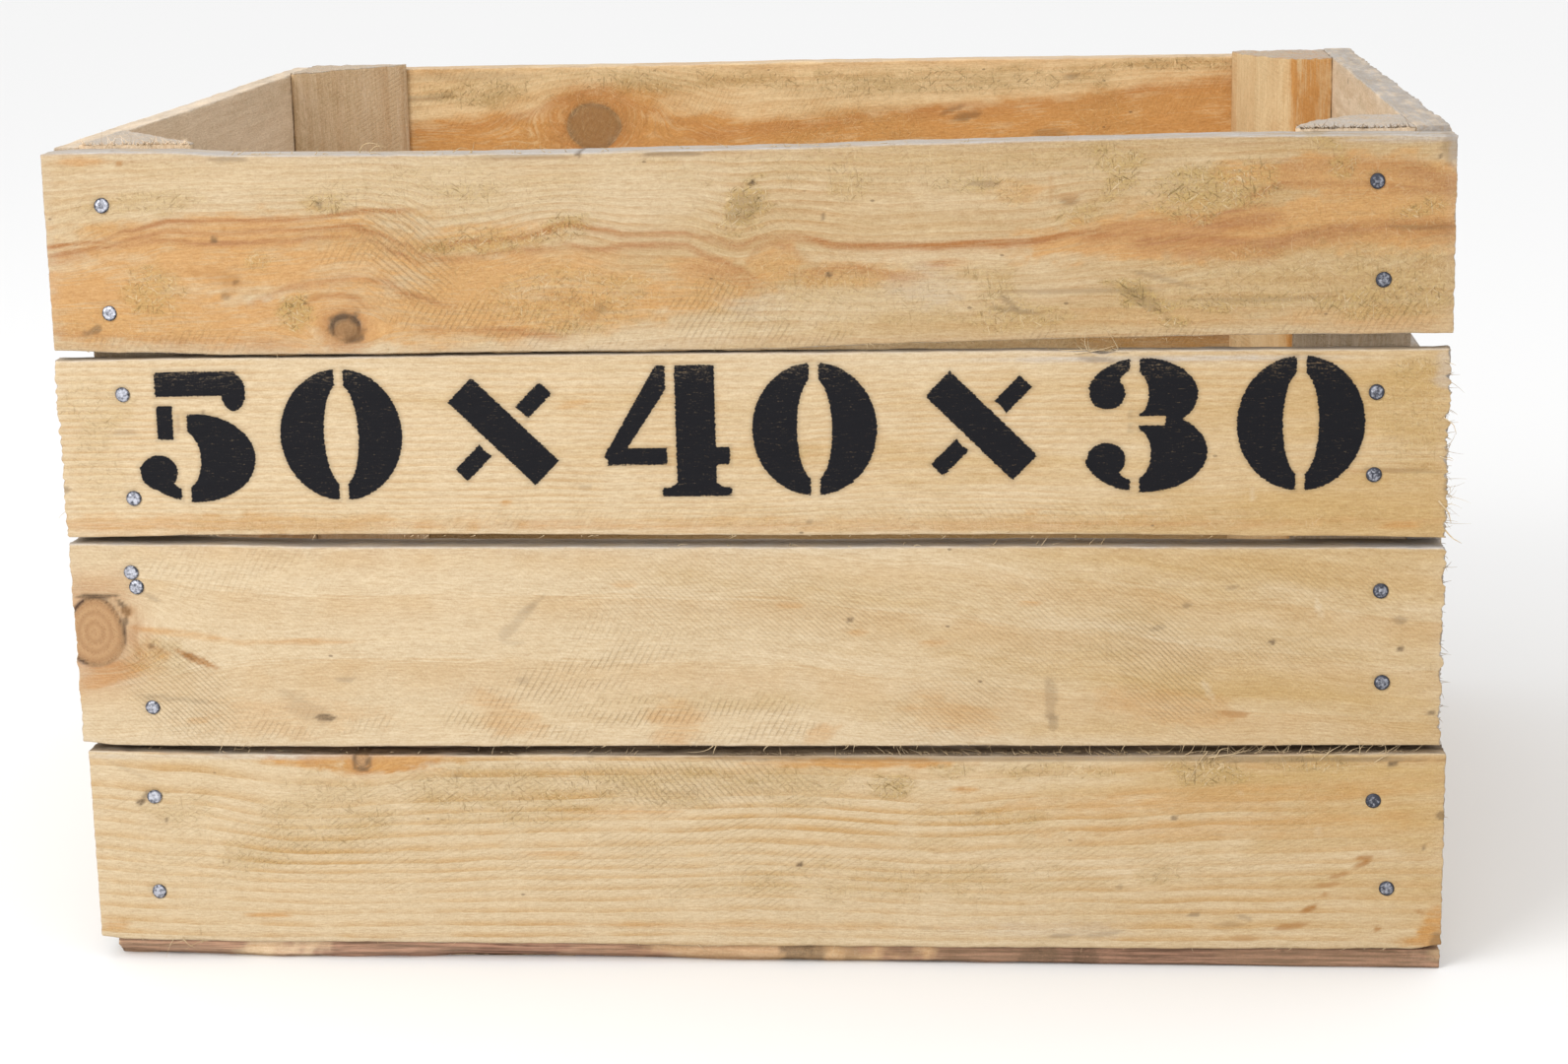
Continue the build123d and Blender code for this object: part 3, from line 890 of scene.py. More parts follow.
def nail_faces(first):
    """The faces of one nail, whose points start at the given number."""
    faces = []
    count = len(NAIL_PROFILE)
    for i in range(count - 1):
        for j in range(NAIL_SIDES):
            a, b = first + i * NAIL_SIDES + j, first + i * NAIL_SIDES + (j + 1) % NAIL_SIDES
            faces.append((b, a, a + NAIL_SIDES, b + NAIL_SIDES))
    top, tip = first + count * NAIL_SIDES, first + count * NAIL_SIDES + 1
    for j in range(NAIL_SIDES):
        k = (j + 1) % NAIL_SIDES
        faces.append((first + j, first + k, top))
        last = first + (count - 1) * NAIL_SIDES
        faces.append((last + k, last + j, tip))
    return faces


# ---------------------------------------------------------------- materials

class Graph:
    """One material's shader nodes, joined up by short calls."""

    def __init__(self, name):
        self.material = bpy.data.materials.new(name)
        self.material.use_nodes = True
        self.tree = self.material.node_tree
        self.tree.nodes.clear()
        self.shader = self.node("ShaderNodeBsdfPrincipled")
        output = self.node("ShaderNodeOutputMaterial")
        self.tree.links.new(self.shader.outputs[0], output.inputs[0])

    def node(self, kind, **settings):
        """A new node."""
        made = self.tree.nodes.new(kind)
        for key, value in settings.items():
            setattr(made, key, value)
        return made

    def put(self, value, socket):
        """Give an input a plain value, or another node's output."""
        if isinstance(value, bpy.types.NodeSocket):
            self.tree.links.new(value, socket)
        elif isinstance(value, tuple) and len(value) == 3 and socket.type == "RGBA":
            socket.default_value = (*value, 1.0)
        else:
            socket.default_value = value

    def number(self, name):
        """A mesh attribute with one value."""
        return self.node("ShaderNodeAttribute", attribute_name=name).outputs["Fac"]

    def vector(self, name):
        """A mesh attribute with three values."""
        return self.node("ShaderNodeAttribute", attribute_name=name).outputs["Vector"]

    def math(self, operation, a, b=0.0, clamp=False):
        made = self.node("ShaderNodeMath", operation=operation, use_clamp=clamp)
        self.put(a, made.inputs[0])
        self.put(b, made.inputs[1])
        return made.outputs[0]

    def times(self, a, b):
        return self.math("MULTIPLY", a, b)

    def plus(self, a, b):
        return self.math("ADD", a, b)

    def ramp(self, value, low, high, to_low=0.0, to_high=1.0):
        """A smooth step from one value to another."""
        made = self.node("ShaderNodeMapRange", interpolation_type="SMOOTHSTEP")
        for socket, v in zip(made.inputs, (value, low, high, to_low, to_high)):
            self.put(v, socket)
        return made.outputs[0]

    def mix(self, factor, a, b, blend="MIX"):
        """Two colours mixed."""
        made = self.node("ShaderNodeMix", data_type="RGBA", blend_type=blend)
        self.put(factor, made.inputs[0])
        self.put(a, made.inputs[6])
        self.put(b, made.inputs[7])
        return made.outputs[2]

    def stretched(self, vector, x, y, z):
        """A place scaled along each axis."""
        made = self.node("ShaderNodeVectorMath", operation="MULTIPLY")
        self.put(vector, made.inputs[0])
        self.put((x, y, z), made.inputs[1])
        return made.outputs[0]

    def turned(self, vector, degrees):
        """A place turned in the plane of the board."""
        made = self.node("ShaderNodeVectorRotate", rotation_type="Z_AXIS")
        self.put(vector, made.inputs["Vector"])
        made.inputs["Angle"].default_value = math.radians(degrees)
        return made.outputs[0]

    def noise(self, vector, scale, detail=2.0, roughness=0.5, distortion=0.0):
        """Smooth noise from 0 to 1."""
        made = self.node("ShaderNodeTexNoise")
        self.put(vector, made.inputs["Vector"])
        made.inputs["Scale"].default_value = scale
        made.inputs["Detail"].default_value = detail
        made.inputs["Roughness"].default_value = roughness
        made.inputs["Distortion"].default_value = distortion
        return made.outputs["Fac"]

    def grey(self, value, gains=(1.0, 1.0, 1.0)):
        """A grey, or a tint in which some of red, green and blue change more than others."""
        made = self.node("ShaderNodeCombineColor")
        for socket, gain in zip(made.inputs, gains):
            self.put(self.plus(self.times(value, gain), 1.0 - gain), socket)
        return made.outputs[0]

    def cells(self, vector, scale):
        """Random cells: the distance from each cell's middle, and a random colour for each."""
        made = self.node("ShaderNodeTexVoronoi")
        self.put(vector, made.inputs["Vector"])
        made.inputs["Scale"].default_value = scale
        return made.outputs["Distance"], made.outputs["Color"]

    def bump(self, height, strength, distance):
        """Give the surface relief, where a height of 1 stands for a distance in mm."""
        made = self.node("ShaderNodeBump")
        made.inputs["Strength"].default_value = strength
        made.inputs["Distance"].default_value = distance * MM
        self.put(height, made.inputs["Height"])
        self.put(made.outputs[0], self.shader.inputs["Normal"])


PALETTES = {  # pale wood, darker wood, late growth, streaks of heartwood, broad amber stains
    "cream_pine": (
        (0.478, 0.370, 0.234), (0.395, 0.258, 0.104), (0.395, 0.245, 0.103),
        (0.310, 0.130, 0.040), (0.400, 0.205, 0.060),
    ),
    "streaked_pine": (
        (0.445, 0.338, 0.206), (0.358, 0.230, 0.094), (0.335, 0.190, 0.072),
        (0.275, 0.108, 0.025), (0.415, 0.216, 0.068),
    ),
    # weathered_pine is lighter than the wood's own colour: painted light on the end slats' shaded inner
    # faces inside the crate
    "weathered_pine": (
        (0.740, 0.590, 0.425), (0.630, 0.450, 0.270), (0.520, 0.325, 0.170),
        (0.420, 0.200, 0.075), (0.520, 0.310, 0.140),
    ),
    # orange_pine is lighter than the wood's own colour: painted light on the surfaces inside the crate
    "orange_pine": (
        (0.700, 0.510, 0.285), (0.620, 0.345, 0.130), (0.500, 0.240, 0.075),
        (0.400, 0.145, 0.034), (0.545, 0.255, 0.070),
    ),
}
BARK = (0.235, 0.128, 0.088)
OCHRE = (0.345, 0.230, 0.086)
KNOT_WOOD = (0.230, 0.115, 0.052)
KNOT_PALE = (0.410, 0.255, 0.130)
KNOT_RIM = (0.055, 0.028, 0.018)
GREYED = (0.385, 0.365, 0.350)
DIRT = (0.090, 0.058, 0.034)
RUST = (0.270, 0.122, 0.034)
END_WOOD = (0.47, 0.375, 0.265)
PAINT = (0.0045, 0.0045, 0.0064)
RELIEF = 0.36  # of the wood, for a height of 1
STEEL_RELIEF = 0.4


def toned(colour, gain):
    """A colour made darker or lighter."""
    return tuple(min(1.0, value * gain) for value in colour)


class Wood(Graph):
    """Rough sawn softwood. The meshes say where its rings, knots, streaks, stains and paint are."""

    def __init__(self, name, pale, tan, late, heart, amber):
        super().__init__(name)
        self.pale, self.tan, self.late, self.heart, self.amber = pale, tan, late, heart, amber
        self.colour = pale
        self.fuzz = self.number("fuzz")
        self.place = self.vector("place")
        self.speckle = self.noise(self.place, 1.35, 4.0, 0.75)
        self.patch = self.noise(self.place, 0.045, 3.0)
        self.pits = self.noise(self.place, 2.2, 3.0, 0.65)
        self.blotch = self.noise(self.stretched(self.place, 0.05, 0.16, 0.16), 1.0, 4.0, 0.6)
        grain = self.vector("grain")
        self.broad = self.noise(self.stretched(grain, 0.006, 0.07, 0.07), 1.0, 3.0)
        self.fibre = self.noise(self.stretched(grain, 0.045, 1.0, 1.0), 1.0, 4.0, 0.65)
        self.fine = self.noise(self.stretched(grain, 0.28, 1.7, 1.7), 1.0, 3.0, 0.7)

    def cover(self, strength, colour):
        """Mix a colour over what is there."""
        self.colour = self.mix(strength, self.colour, colour)

    def uneven(self, noise, gain):
        """A noise that is 0 on average."""
        return self.times(self.plus(noise, -0.5), gain)

    def clipped(self, a, b=1.0):
        """A product kept between 0 and 1."""
        return self.math("MULTIPLY", a, b, True)

    def growth(self):
        """Pale and tan wood, with a line of late growth in each ring."""
        # the warmth attribute holds the wood's tone and painted shade towards the board's far end
        warm = self.plus(self.number("warmth"), self.uneven(self.broad, 1.4))
        tanned = self.ramp(self.plus(warm, self.uneven(self.blotch, 0.9)), -0.05, 1.05)
        self.colour = self.mix(tanned, self.pale, self.tan)
        self.wave = self.math("FRACT", self.plus(self.number("ring"), self.times(self.fibre, 0.45)))
        line = self.times(self.ramp(self.wave, 0.30, 0.82), self.ramp(self.wave, 1.0, 0.90))
        clear = self.times(self.number("rings"), self.ramp(self.patch, 0.3, 0.62, 0.35, 1.15))
        self.late_wood = self.times(line, clear)
        self.cover(self.clipped(self.late_wood), self.late)

    def heartwood(self):
        """Broad amber stains, and streaks of orange heartwood."""
        streaky = self.ramp(self.plus(self.fibre, self.times(self.blotch, 0.8)), 0.70, 1.05, 0.55, 1.6)
        self.cover(self.clipped(self.times(self.number("amber"), streaky)), self.amber)
        streaky = self.ramp(self.fibre, 0.36, 0.62, 0.85, 1.75)
        self.cover(self.clipped(self.times(self.number("heart"), streaky)), self.heart)

    def knots(self):
        """Ringed and cracked knots with a dark rim, in a halo of heartwood."""
        near = self.plus(self.number("knot"), self.uneven(self.fine, 0.14))
        halo = self.times(self.ramp(near, 2.3, 1.0), 0.6)
        self.cover(self.times(halo, self.ramp(self.fibre, 0.3, 0.6, 0.4, 1.0)), self.heart)
        rings = self.math("SINE", self.plus(self.times(near, 24.0), self.times(self.speckle, 9.0)))
        paler = self.plus(self.times(rings, 0.16), self.times(self.speckle, 1.1))
        knot = self.mix(paler, KNOT_WOOD, KNOT_PALE)
        knot = self.mix(self.ramp(self.speckle, 0.52, 0.75), knot, toned(KNOT_WOOD, 0.6))
        self.cover(self.ramp(near, 1.0, 0.93), knot)
        self.out_of_knot = self.ramp(near, 0.93, 1.0, 0.15, 1.0)
        self.rim = self.clipped(self.number("rim"), self.ramp(self.fine, 0.3, 0.6, 0.6, 1.5))
        self.cover(self.rim, KNOT_RIM)

    def sawn_ends(self):
        """Pitted end grain."""
        self.end = self.number("end")
        rings = self.mix(self.ramp(self.wave, 0.4, 0.9), END_WOOD, self.late)
        pitted = self.grey(self.ramp(self.pits, 0.3, 0.62, 0.5, 1.15))
        self.cover(self.times(self.end, 0.85), self.mix(1.0, rings, pitted, "MULTIPLY"))

    def weather(self):
        """Greyed and furry patches, and the light and dark of the fibres."""
        patchy = self.plus(self.blotch, self.times(self.fibre, 0.5))
        greyed = self.times(self.number("greyed"), self.ramp(patchy, 0.5, 0.95, 0.45, 1.25))
        self.cover(self.clipped(greyed, self.out_of_knot), GREYED)
        patchy = self.plus(self.speckle, self.times(self.blotch, 0.6))
        self.cover(self.times(self.fuzz, self.ramp(patchy, 0.66, 0.92, 0.10, 0.85)), OCHRE)
        shade = self.plus(self.uneven(self.fibre, 0.42), self.uneven(self.fine, 0.75))
        rough = self.plus(0.60, self.times(self.fuzz, 0.9))
        shade = self.plus(self.times(shade, self.out_of_knot), self.uneven(self.speckle, rough))
        tint = self.grey(self.plus(shade, 1.0), (0.75, 1.0, 1.3))
        self.colour = self.mix(1.0, self.colour, tint, "MULTIPLY")

    def groove(self, name, fade):
        """Thin broken lines, one at each whole number of a mesh value."""
        line = self.math("FRACT", self.plus(self.number(name), self.times(self.fine, 0.3)))
        line = self.times(self.ramp(line, 0.0, 0.22), self.ramp(line, 0.60, 0.25))
        broken = self.times(line, self.ramp(fade, 0.36, 0.6, 0.15, 1.0))
        return self.times(broken, self.number(f"{name}_depth"))

    def grooves(self):
        """Saw marks, and the marks that cross them."""
        saw, scratch = self.groove("saw", self.blotch), self.groove("scratch", self.speckle)
        self.saw_cut = self.math("MAXIMUM", saw, scratch)
        self.cover(self.times(self.saw_cut, 0.36), toned(self.tan, 0.5))

    def hairs(self):
        """Pale fibres, painted lighter as a highlight, and dark lines of painted shadow, lying across the
        furry patches, three ways.
        """
        lines = []
        for i, angle in enumerate((32.0, -41.0, 84.0)):
            turned = self.stretched(self.turned(self.place, angle), 0.22, 1.15 + 0.1 * i, 1.2)
            lines.append(self.noise(turned, 1.0, 3.0, 0.65, 0.3))
        highest = self.math("MAXIMUM", self.math("MAXIMUM", lines[0], lines[1]), lines[2])
        lowest = self.math("MINIMUM", self.math("MINIMUM", lines[0], lines[1]), lines[2])
        self.hair_highlight = self.times(self.ramp(highest, 0.60, 0.68), self.fuzz)
        self.hair_shadow = self.times(self.ramp(lowest, 0.40, 0.31), self.fuzz)
        # painted highlight on the loose fibres, then their painted shadow
        self.cover(self.times(self.hair_highlight, 0.8), toned(self.pale, 1.2))
        self.cover(self.times(self.hair_shadow, 0.8), toned(OCHRE, 0.48))

    def dirt(self):
        """Bark, stains, rust, and specks here and there."""
        strip = self.noise(self.stretched(self.place, 0.03, 0.9, 0.9), 1.0, 4.0, 0.7)
        bark = self.mix(self.ramp(strip, 0.35, 0.65), toned(BARK, 0.5), toned(BARK, 1.8))
        self.cover(self.number("bark"), bark)
        mottled = self.ramp(self.plus(self.fine, self.speckle), 0.75, 1.25, 0.65, 1.1)
        self.cover(self.clipped(self.times(self.number("stain"), mottled)), DIRT)
        self.cover(self.clipped(self.times(self.number("rust"), mottled)), RUST)
        distance, cell = self.cells(self.stretched(self.place, 0.55, 1.0, 1.0), 0.16)
        pick = self.node("ShaderNodeSeparateColor")
        self.put(cell, pick.inputs[0])
        speck = self.times(self.ramp(distance, 0.10, 0.05), self.ramp(pick.outputs[0], 0.86, 0.9))
        self.cover(self.times(speck, 0.55), DIRT)

    def paint(self):
        """The stencilled mark, with rough worn paint and a haze of spray round it."""
        rough = self.plus(self.uneven(self.fibre, 1.3), self.uneven(self.speckle, 1.5))
        depth = self.plus(self.number("paint"), rough)
        self.painted = self.ramp(depth, -0.12, 0.22)
        thin = self.times(self.number("sprayed"), -0.12)
        thick = self.plus(self.plus(self.fine, self.times(self.speckle, 0.8)), thin)
        worn = self.times(self.painted, self.ramp(thick, 0.50, 0.78, 0.70, 1.0))
        haze = self.times(self.ramp(depth, -1.7, 0.1), 0.22)
        self.cover(self.math("MAXIMUM", worn, haze), PAINT)

    def relief(self):
        """The height of the finest relief."""
        parts = [
            (self.fibre, 0.35),
            (self.speckle, self.plus(0.25, self.times(self.fuzz, 0.7))),
            (self.late_wood, 0.12),
            (self.plus(self.hair_highlight, self.times(self.hair_shadow, -1.0)), 0.5),
            (self.saw_cut, -0.9),
            (self.times(self.end, self.pits), 0.9),
            (self.rim, -0.8),
        ]
        height = self.times(self.fine, 0.5)
        for part, gain in parts:
            height = self.plus(height, self.times(part, gain))
        return height

    def finish(self):
        """Join the layers up to the shader."""
        dull = self.ramp(self.painted, 0.0, 1.0, 0.84, 0.62)
        self.put(self.plus(self.uneven(self.fibre, 0.2), dull), self.shader.inputs["Roughness"])
        self.put(self.colour, self.shader.inputs["Base Color"])
        self.shader.inputs["Specular IOR Level"].default_value = 0.12
        self.bump(self.relief(), 0.8, RELIEF)


def wood(name, palette):
    """A slot's wood, layer on layer."""
    g = Wood(name, *palette)
    g.growth()
    g.heartwood()
    g.knots()
    g.sawn_ends()
    g.weather()
    g.grooves()
    g.hairs()
    g.dirt()
    g.paint()
    g.finish()
    return g.material


def nail_steel():
    """Dull wire-nail steel, from bright to dark oxide, with hammer marks, and painted shade round the
    heads' rims and under them.
    """
    g = Graph("nail_steel")
    place = g.node("ShaderNodeTexCoord").outputs["Object"]
    blotch = g.noise(place, 900.0, 3.0, 0.6)
    scuff = g.noise(place, 2600.0, 2.0, 0.6)
    # this darkness holds the steel's oxide and the painted shade round the heads' rims
    oxide_and_shade = g.math("MULTIPLY", g.plus(g.number("oxide_and_shade"), g.times(g.plus(blotch, -0.5), 2.6)), 1.0, True)
    colour = g.mix(oxide_and_shade, (0.50, 0.51, 0.57), (0.050, 0.053, 0.068))
    g.put(colour, g.shader.inputs["Base Color"])
    g.shader.inputs["Metallic"].default_value = 0.85
    g.put(g.plus(g.times(blotch, 0.25), g.ramp(oxide_and_shade, 0.0, 1.0, 0.22, 0.42)), g.shader.inputs["Roughness"])
    g.bump(g.plus(blotch, g.times(scuff, 0.4)), 0.6, STEEL_RELIEF)
    return g.material


MATERIALS = {slot: wood(slot, palette) for slot, palette in PALETTES.items()}
MATERIALS["nail_steel"] = nail_steel()


# ---------------------------------------------------------------- each board's own look

MARKED_NODE = "front_slat_2"
UPPER_LINE = [
    (-252, 271.2), (-232, 273.5), (-220, 277), (-205, 280), (-180, 279.7), (-160, 281), (-135, 283),
    (-118, 283),
]
MIDDLE_LINE = [
    (-252, 268), (-230, 271), (-215, 275), (-205, 276.5), (-190, 275.5), (-160, 277), (-140, 278),
    (-130, 276), (-120, 271), (-112, 267), (-104, 265.6), (-80, 268), (-66, 269),
]
LOWER_LINE = [
    (-252, 265.5), (-225, 271), (-210, 273.5), (-190, 272), (-165, 272.8), (-145, 274.5), (-133, 273),
    (-122, 268), (-115, 264.5),
]
RIGHT_LINE = [
    (-112, 270.5), (-95, 272.5), (-80, 273), (-60, 278), (-48, 276), (-40, 274), (-20, 274), (-10, 272),
    (0, 269), (8, 271.5), (20, 272), (35, 269), (50, 269), (80, 269.5), (100, 270), (120, 272.5),
    (135, 275.5), (160, 277.5), (185, 281),
]
FRONT_FLOW = [
    (-252, -5), (-220, 2), (-205, 5), (-180, 5), (-135, 8), (-122, 3), (-110, -4), (-95, -3), (-60, 3),
    (-40, 0), (-20, 0), (0, -5), (15, -2), (50, -5), (100, -4), (135, 1), (185, 8), (210, 10), (252, 14),
]
FRONT_LOOKS = {
    "front_slat_1": Look(
        11, pith=(-95.0, 60.0), ring=2.9, rings=0.5, flow=FRONT_FLOW, flow_level=272, flow_reach=17,
        knots=[(-142.9, 240.6, 5.8, 5.4, 1.0)], saw=(60, 2.1, 0.05), saw_across=(-42, 2.0, 0.03),
        fuzz=0.25, warmth=0.42, tan_and_shade_slant=0.36, grey=0.3, ragged=(0.12, 0.3),
        streaks=[
            (UPPER_LINE, 1.0, 0.9), (MIDDLE_LINE, 1.2, 0.9), (LOWER_LINE, 1.0, 0.75),
            (RIGHT_LINE, 1.4, 0.9), ([(40, 269), (55, 269), (88, 268.6), (100, 269.6)], 1.7, 0.98),
            ([
                (-62, 271), (-50, 269), (-40, 270), (-20, 269.5), (-8, 264.5), (0, 261), (8, 256),
            ], 1.5, 0.61),
            ([(1, 261), (6, 268), (12, 269.6), (18, 268.6), (23, 264)], 1.2, 0.68),
            ([(-178, 251), (-160, 257), (-140, 259), (-128, 258), (-118, 253), (-104, 249)], 1.3, 0.68),
            ([(-159, 250), (-150, 253.2), (-144, 253.8), (-138, 252.5), (-134, 249)], 1.0, 0.84),
            ([(-20, 263), (-8, 260), (8, 256)], 3.6, 0.49),
            ([(18, 259), (40, 261.5), (62, 258)], 2.0, 0.57), ([(66, 262), (76, 262.5)], 1.2, 0.61),
            ([(-115, 241), (-90, 240), (-62, 237.6)], 1.6, 0.57), ([(-70, 252), (-55, 251)], 1.6, 0.47),
            ([(-252, 241), (-200, 237), (-160, 236)], 2.6, 0.32),
            ([(138, 269.5), (160, 271), (182, 267.5), (205, 272), (226, 274), (252, 273.5)], 3.6, 0.95),
            ([(150, 267), (165, 265.5), (182, 266)], 2.8, 0.8),
            ([(120, 272), (150, 274), (190, 277)], 3.2, 0.7),
            ([(176, 284), (190, 289), (215, 288.5), (252, 286)], 1.6, 0.68),
            ([(186, 294.5), (208, 296), (230, 294), (252, 289)], 4.0, 0.7),
            ([(205, 285), (252, 286.5)], 1.2, 0.54), ([(240, 291), (252, 288)], 2.2, 0.68),
        ],
        spots={
            "amber": [
                (-190, 275, 66, 6, 3, 0.6), (-128, 270, 20, 7, -20, 0.4), (-205, 262, 60, 12, 4, 0.45),
                (-232, 250, 26, 13, 0, 0.75), (-185, 243, 60, 9, -3, 0.7), (-150, 262, 60, 9, 0, 0.5),
                (-120, 246, 45, 11, -4, 0.62), (-75, 255, 45, 14, -3, 0.62), (-60, 246, 25, 7, 0, 0.4),
                (-90, 274, 22, 4, 4, 0.55), (-18, 252, 20, 6, 0, 0.62), (-8, 259, 18, 5, -12, 0.5),
                (14, 262, 9, 7, 0, 0.6), (40, 259, 22, 5, 0, 0.5), (75, 262, 10, 2.5, 0, 0.35),
                (140, 271, 40, 7, 4, 0.8), (185, 273, 40, 8, 6, 1.0), (225, 277, 40, 11, 0, 1.0),
                (190, 292, 22, 5, 0, 0.8), (225, 291, 34, 7, -2, 0.9), (150, 283, 14, 3, 4, 0.3),
                (150, 242, 25, 4, 0, 0.2), (225, 241, 26, 5, 0, 0.35), (97, 287, 9, 4, 0, 0.4),
                (-236, 302, 9, 1.4, 0, 0.6),
            ],
            "fuzz": [
                (-212, 255, 10, 9, 0, 0.55), (-160, 247, 7, 6, 20, 0.85), (-213, 287, 20, 4, 4, 0.4),
                (-148, 286, 7, 3, 0, 0.45), (-173, 265, 5, 3, 0, 0.45), (-62, 276.5, 10, 5, 8, 0.75),
                (-92, 271.5, 20, 4, 4, 0.5), (-60, 250, 28, 12, 0, 0.45), (2, 284, 10, 7, 50, 0.95),
                (38, 291, 7, 7, 0, 0.35), (82, 290, 12, 3, 5, 0.55), (97, 287, 7, 4, 0, 0.35),
                (90, 253, 11, 7, -35, 0.4), (98, 243, 16, 5, 0, 0.5), (133, 297, 9, 6, 0, 0.5),
                (134, 288, 8, 4, 20, 0.6), (157, 289, 16, 7, 10, 0.75), (166, 283, 12, 6, 20, 0.6),
                (120, 279, 8, 4, 10, 0.55), (205, 302, 7, 3, -20, 0.55), (210, 295, 4, 4, 0, 0.6),
                (236, 279, 9, 4, 5, 0.5), (180, 288, 9, 7, 30, 0.55), (142, 249, 12, 4, -28, 0.95),
                (153, 241, 6, 2.5, 0, 0.8), (168, 245.5, 6, 2, 0, 0.5), (180, 248, 34, 2.5, 2, 0.45),
                (225, 247, 26, 5, 4, 0.4), (-110, 288, 60, 8, 0, 0.16), (30, 250, 60, 12, 0, 0.25),
                (200, 256, 50, 12, 0, 0.25), (60, 296, 80, 7, 0, 0.2), (-96, 290, 10, 3, 0, 0.3),
            ],
            "pale": [
                (-190, 293, 60, 7, 0, 0.5), (-110, 290, 30, 8, 0, 0.6), (-30, 287, 30, 8, 0, 0.5),
                (-60, 234, 55, 3.5, 4, 0.9), (-10, 240, 35, 6, 6, 0.55), (35, 248, 25, 5, 0, 0.35),
                (90, 282, 40, 5, 0, 0.4), (60, 264, 25, 3, 0, 0.4), (150, 284, 12, 3, 4, 0.5),
                (205, 284, 16, 3, 4, 0.5), (200, 262, 45, 4, 3, 0.5), (246, 297, 6, 2, -20, 0.5),
            ],
            "stain": [
                (5.4, 291.2, 1.3, 0.8, 0, 0.95), (-182, 258, 1.3, 0.8, 20, 0.75),
                (-189, 273.2, 0.8, 1.2, 0, 0.75), (-186, 253, 1.6, 1.4, 0, 0.5),
                (-234.5, 241.3, 2.6, 1.5, 35, 0.6), (-238, 240, 1.6, 1, -20, 0.5),
                (29.8, 279, 0.4, 1.8, 0, 0.6), (31.6, 258.4, 0.9, 0.8, 0, 0.8),
                (243.5, 297.6, 1.1, 0.8, 0, 0.7), (-56, 302.2, 1.2, 0.9, 0, 0.75),
                (-23, 301.8, 12, 0.5, 0, 0.5), (-75, 301.6, 16, 0.8, 0, 0.3),
                (-182, 301.8, 7, 0.5, 0, 0.4), (-50, 247, 3, 2, 0, 0.3), (-150, 285.5, 0.9, 1.4, 0, 0.5),
                (98, 245, 9, 0.7, -8, 0.4), (95, 248, 5, 0.7, -40, 0.4), (2, 282, 6, 4, 40, 0.24),
                (142, 248, 9, 2.5, -30, 0.3), (87, 290, 6, 1, 0, 0.35), (116, 283.5, 3, 1.2, 0, 0.4),
                (-146.5, 244.8, 3, 0.7, 12, 0.55), (-138.9, 245.2, 0.8, 2.2, -25, 0.6),
                (-141, 237, 4, 1.6, 0, 0.6), (-142.9, 240.6, 5.4, 5.0, 0, 0.55),
                (-140.5, 238, 3.4, 2.4, 0, 0.5), (247, 300, 3, 5, 0, 0.35), (120, 252, 30, 0.5, 0, 0.3),
                (240, 273.2, 14, 0.5, 0, 0.35), (150, 255.5, 14, 0.5, -16, 0.3),
                (180, 248.5, 25, 0.6, 0, 0.25),
            ],
            "rust": [
                (-142.5, 239.8, 5.2, 4.6, 0, 0.3), (-222, 300.8, 1.3, 0.6, 0, 0.7),
                (-188, 260, 7, 3, -20, 0.3), (-184, 256, 4, 4, 0, 0.25), (-197, 262, 3, 1.5, -30, 0.35),
                (-185, 277.3, 0.9, 0.7, 0, 0.5), (-54, 245, 2.5, 2, 0, 0.4),
                (116, 285, 3.5, 1.4, 0, 0.45), (110, 289, 0.6, 5, 0, 0.3), (-152, 253, 5, 0.6, 12, 0.4),
            ],
            "grey": [
                (235, 303.5, 22, 1.0, 0, 0.4), (249, 299, 2, 6, 0, 0.4), (-60, 303.5, 60, 0.8, 0, 0.4),
                (5, 248, 10, 4, 0, 0.15), (66, 254, 12, 6, 0, 0.2),
            ],
            "hatch": [
                (-128, 262, 22, 16, 0, 0.45), (-90, 244, 32, 8, 0, 0.6), (-5, 246, 24, 13, 0, 0.55),
                (25, 239, 24, 6, 0, 0.55), (-200, 236, 40, 3.5, 0, 0.4), (150, 236.5, 60, 2.5, 0, 0.4),
                (-60, 236, 24, 4, 0, 0.4), (222, 244, 26, 9, 0, 0.5),
            ],
            "scratch": [
                (-118, 268, 20, 15, -40, 0.75), (-130, 252, 14, 8, 0, 0.4), (10, 279, 20, 7, 0, 0.35),
                (200, 245, 30, 8, 0, 0.25),
            ],
        },
        lower=[
            (-250, 0.9), (-225, -0.2), (-180, -1.4), (-120, -1.7), (10, -1.7), (65, -0.6), (122, 0.1),
            (180, 0.4), (250, 0.1),
        ],
        upper=[
            (-250, 0), (-235, 0.5), (-210, 0.2), (-173, -1.4), (-119, -1.7), (-65, -1.6), (-12, -1.0),
            (18, -0.9), (70, -0.1), (122, 0.4), (173, 0.9), (224, 0.6), (250, 0.2),
        ],
        hairs=[
            (0.25, [
                (-134.5, 303.6, 1), (-133.5, 306.2, 0.5), (-130, 307.4, 0), (-127, 306, 0.5),
                (-126.3, 303.8, 1),
            ]),
            (0.2, [(-131, 303.8, 1), (-128.5, 306, 0.3), (-124, 305.4, 0.2)]),
            (0.2, [(-101, 303.4, 1), (-98, 305, 0.5), (-95, 304.4, 1)]),
        ],
        fringes=[
            ("upper", -190, -90, 16, 3.0, 0.0), ("upper", -90, 60, 20, 2.0, 0.0),
            ("upper", 60, 245, 26, 1.6, 0.1), ("lower", -240, 60, 44, 2.2, 0.0),
            ("lower", 60, 240, 22, 1.6, 0.1), ("low end", 236, 300, 12, 0.9, 0.0),
        ],
    ),
    "front_slat_2": Look(
        23, pith=(120.0, 45.0), ring=2.5, rings=0.5, saw=(58, 2.0, 0.05), saw_across=(-50, 1.9, 0.08),
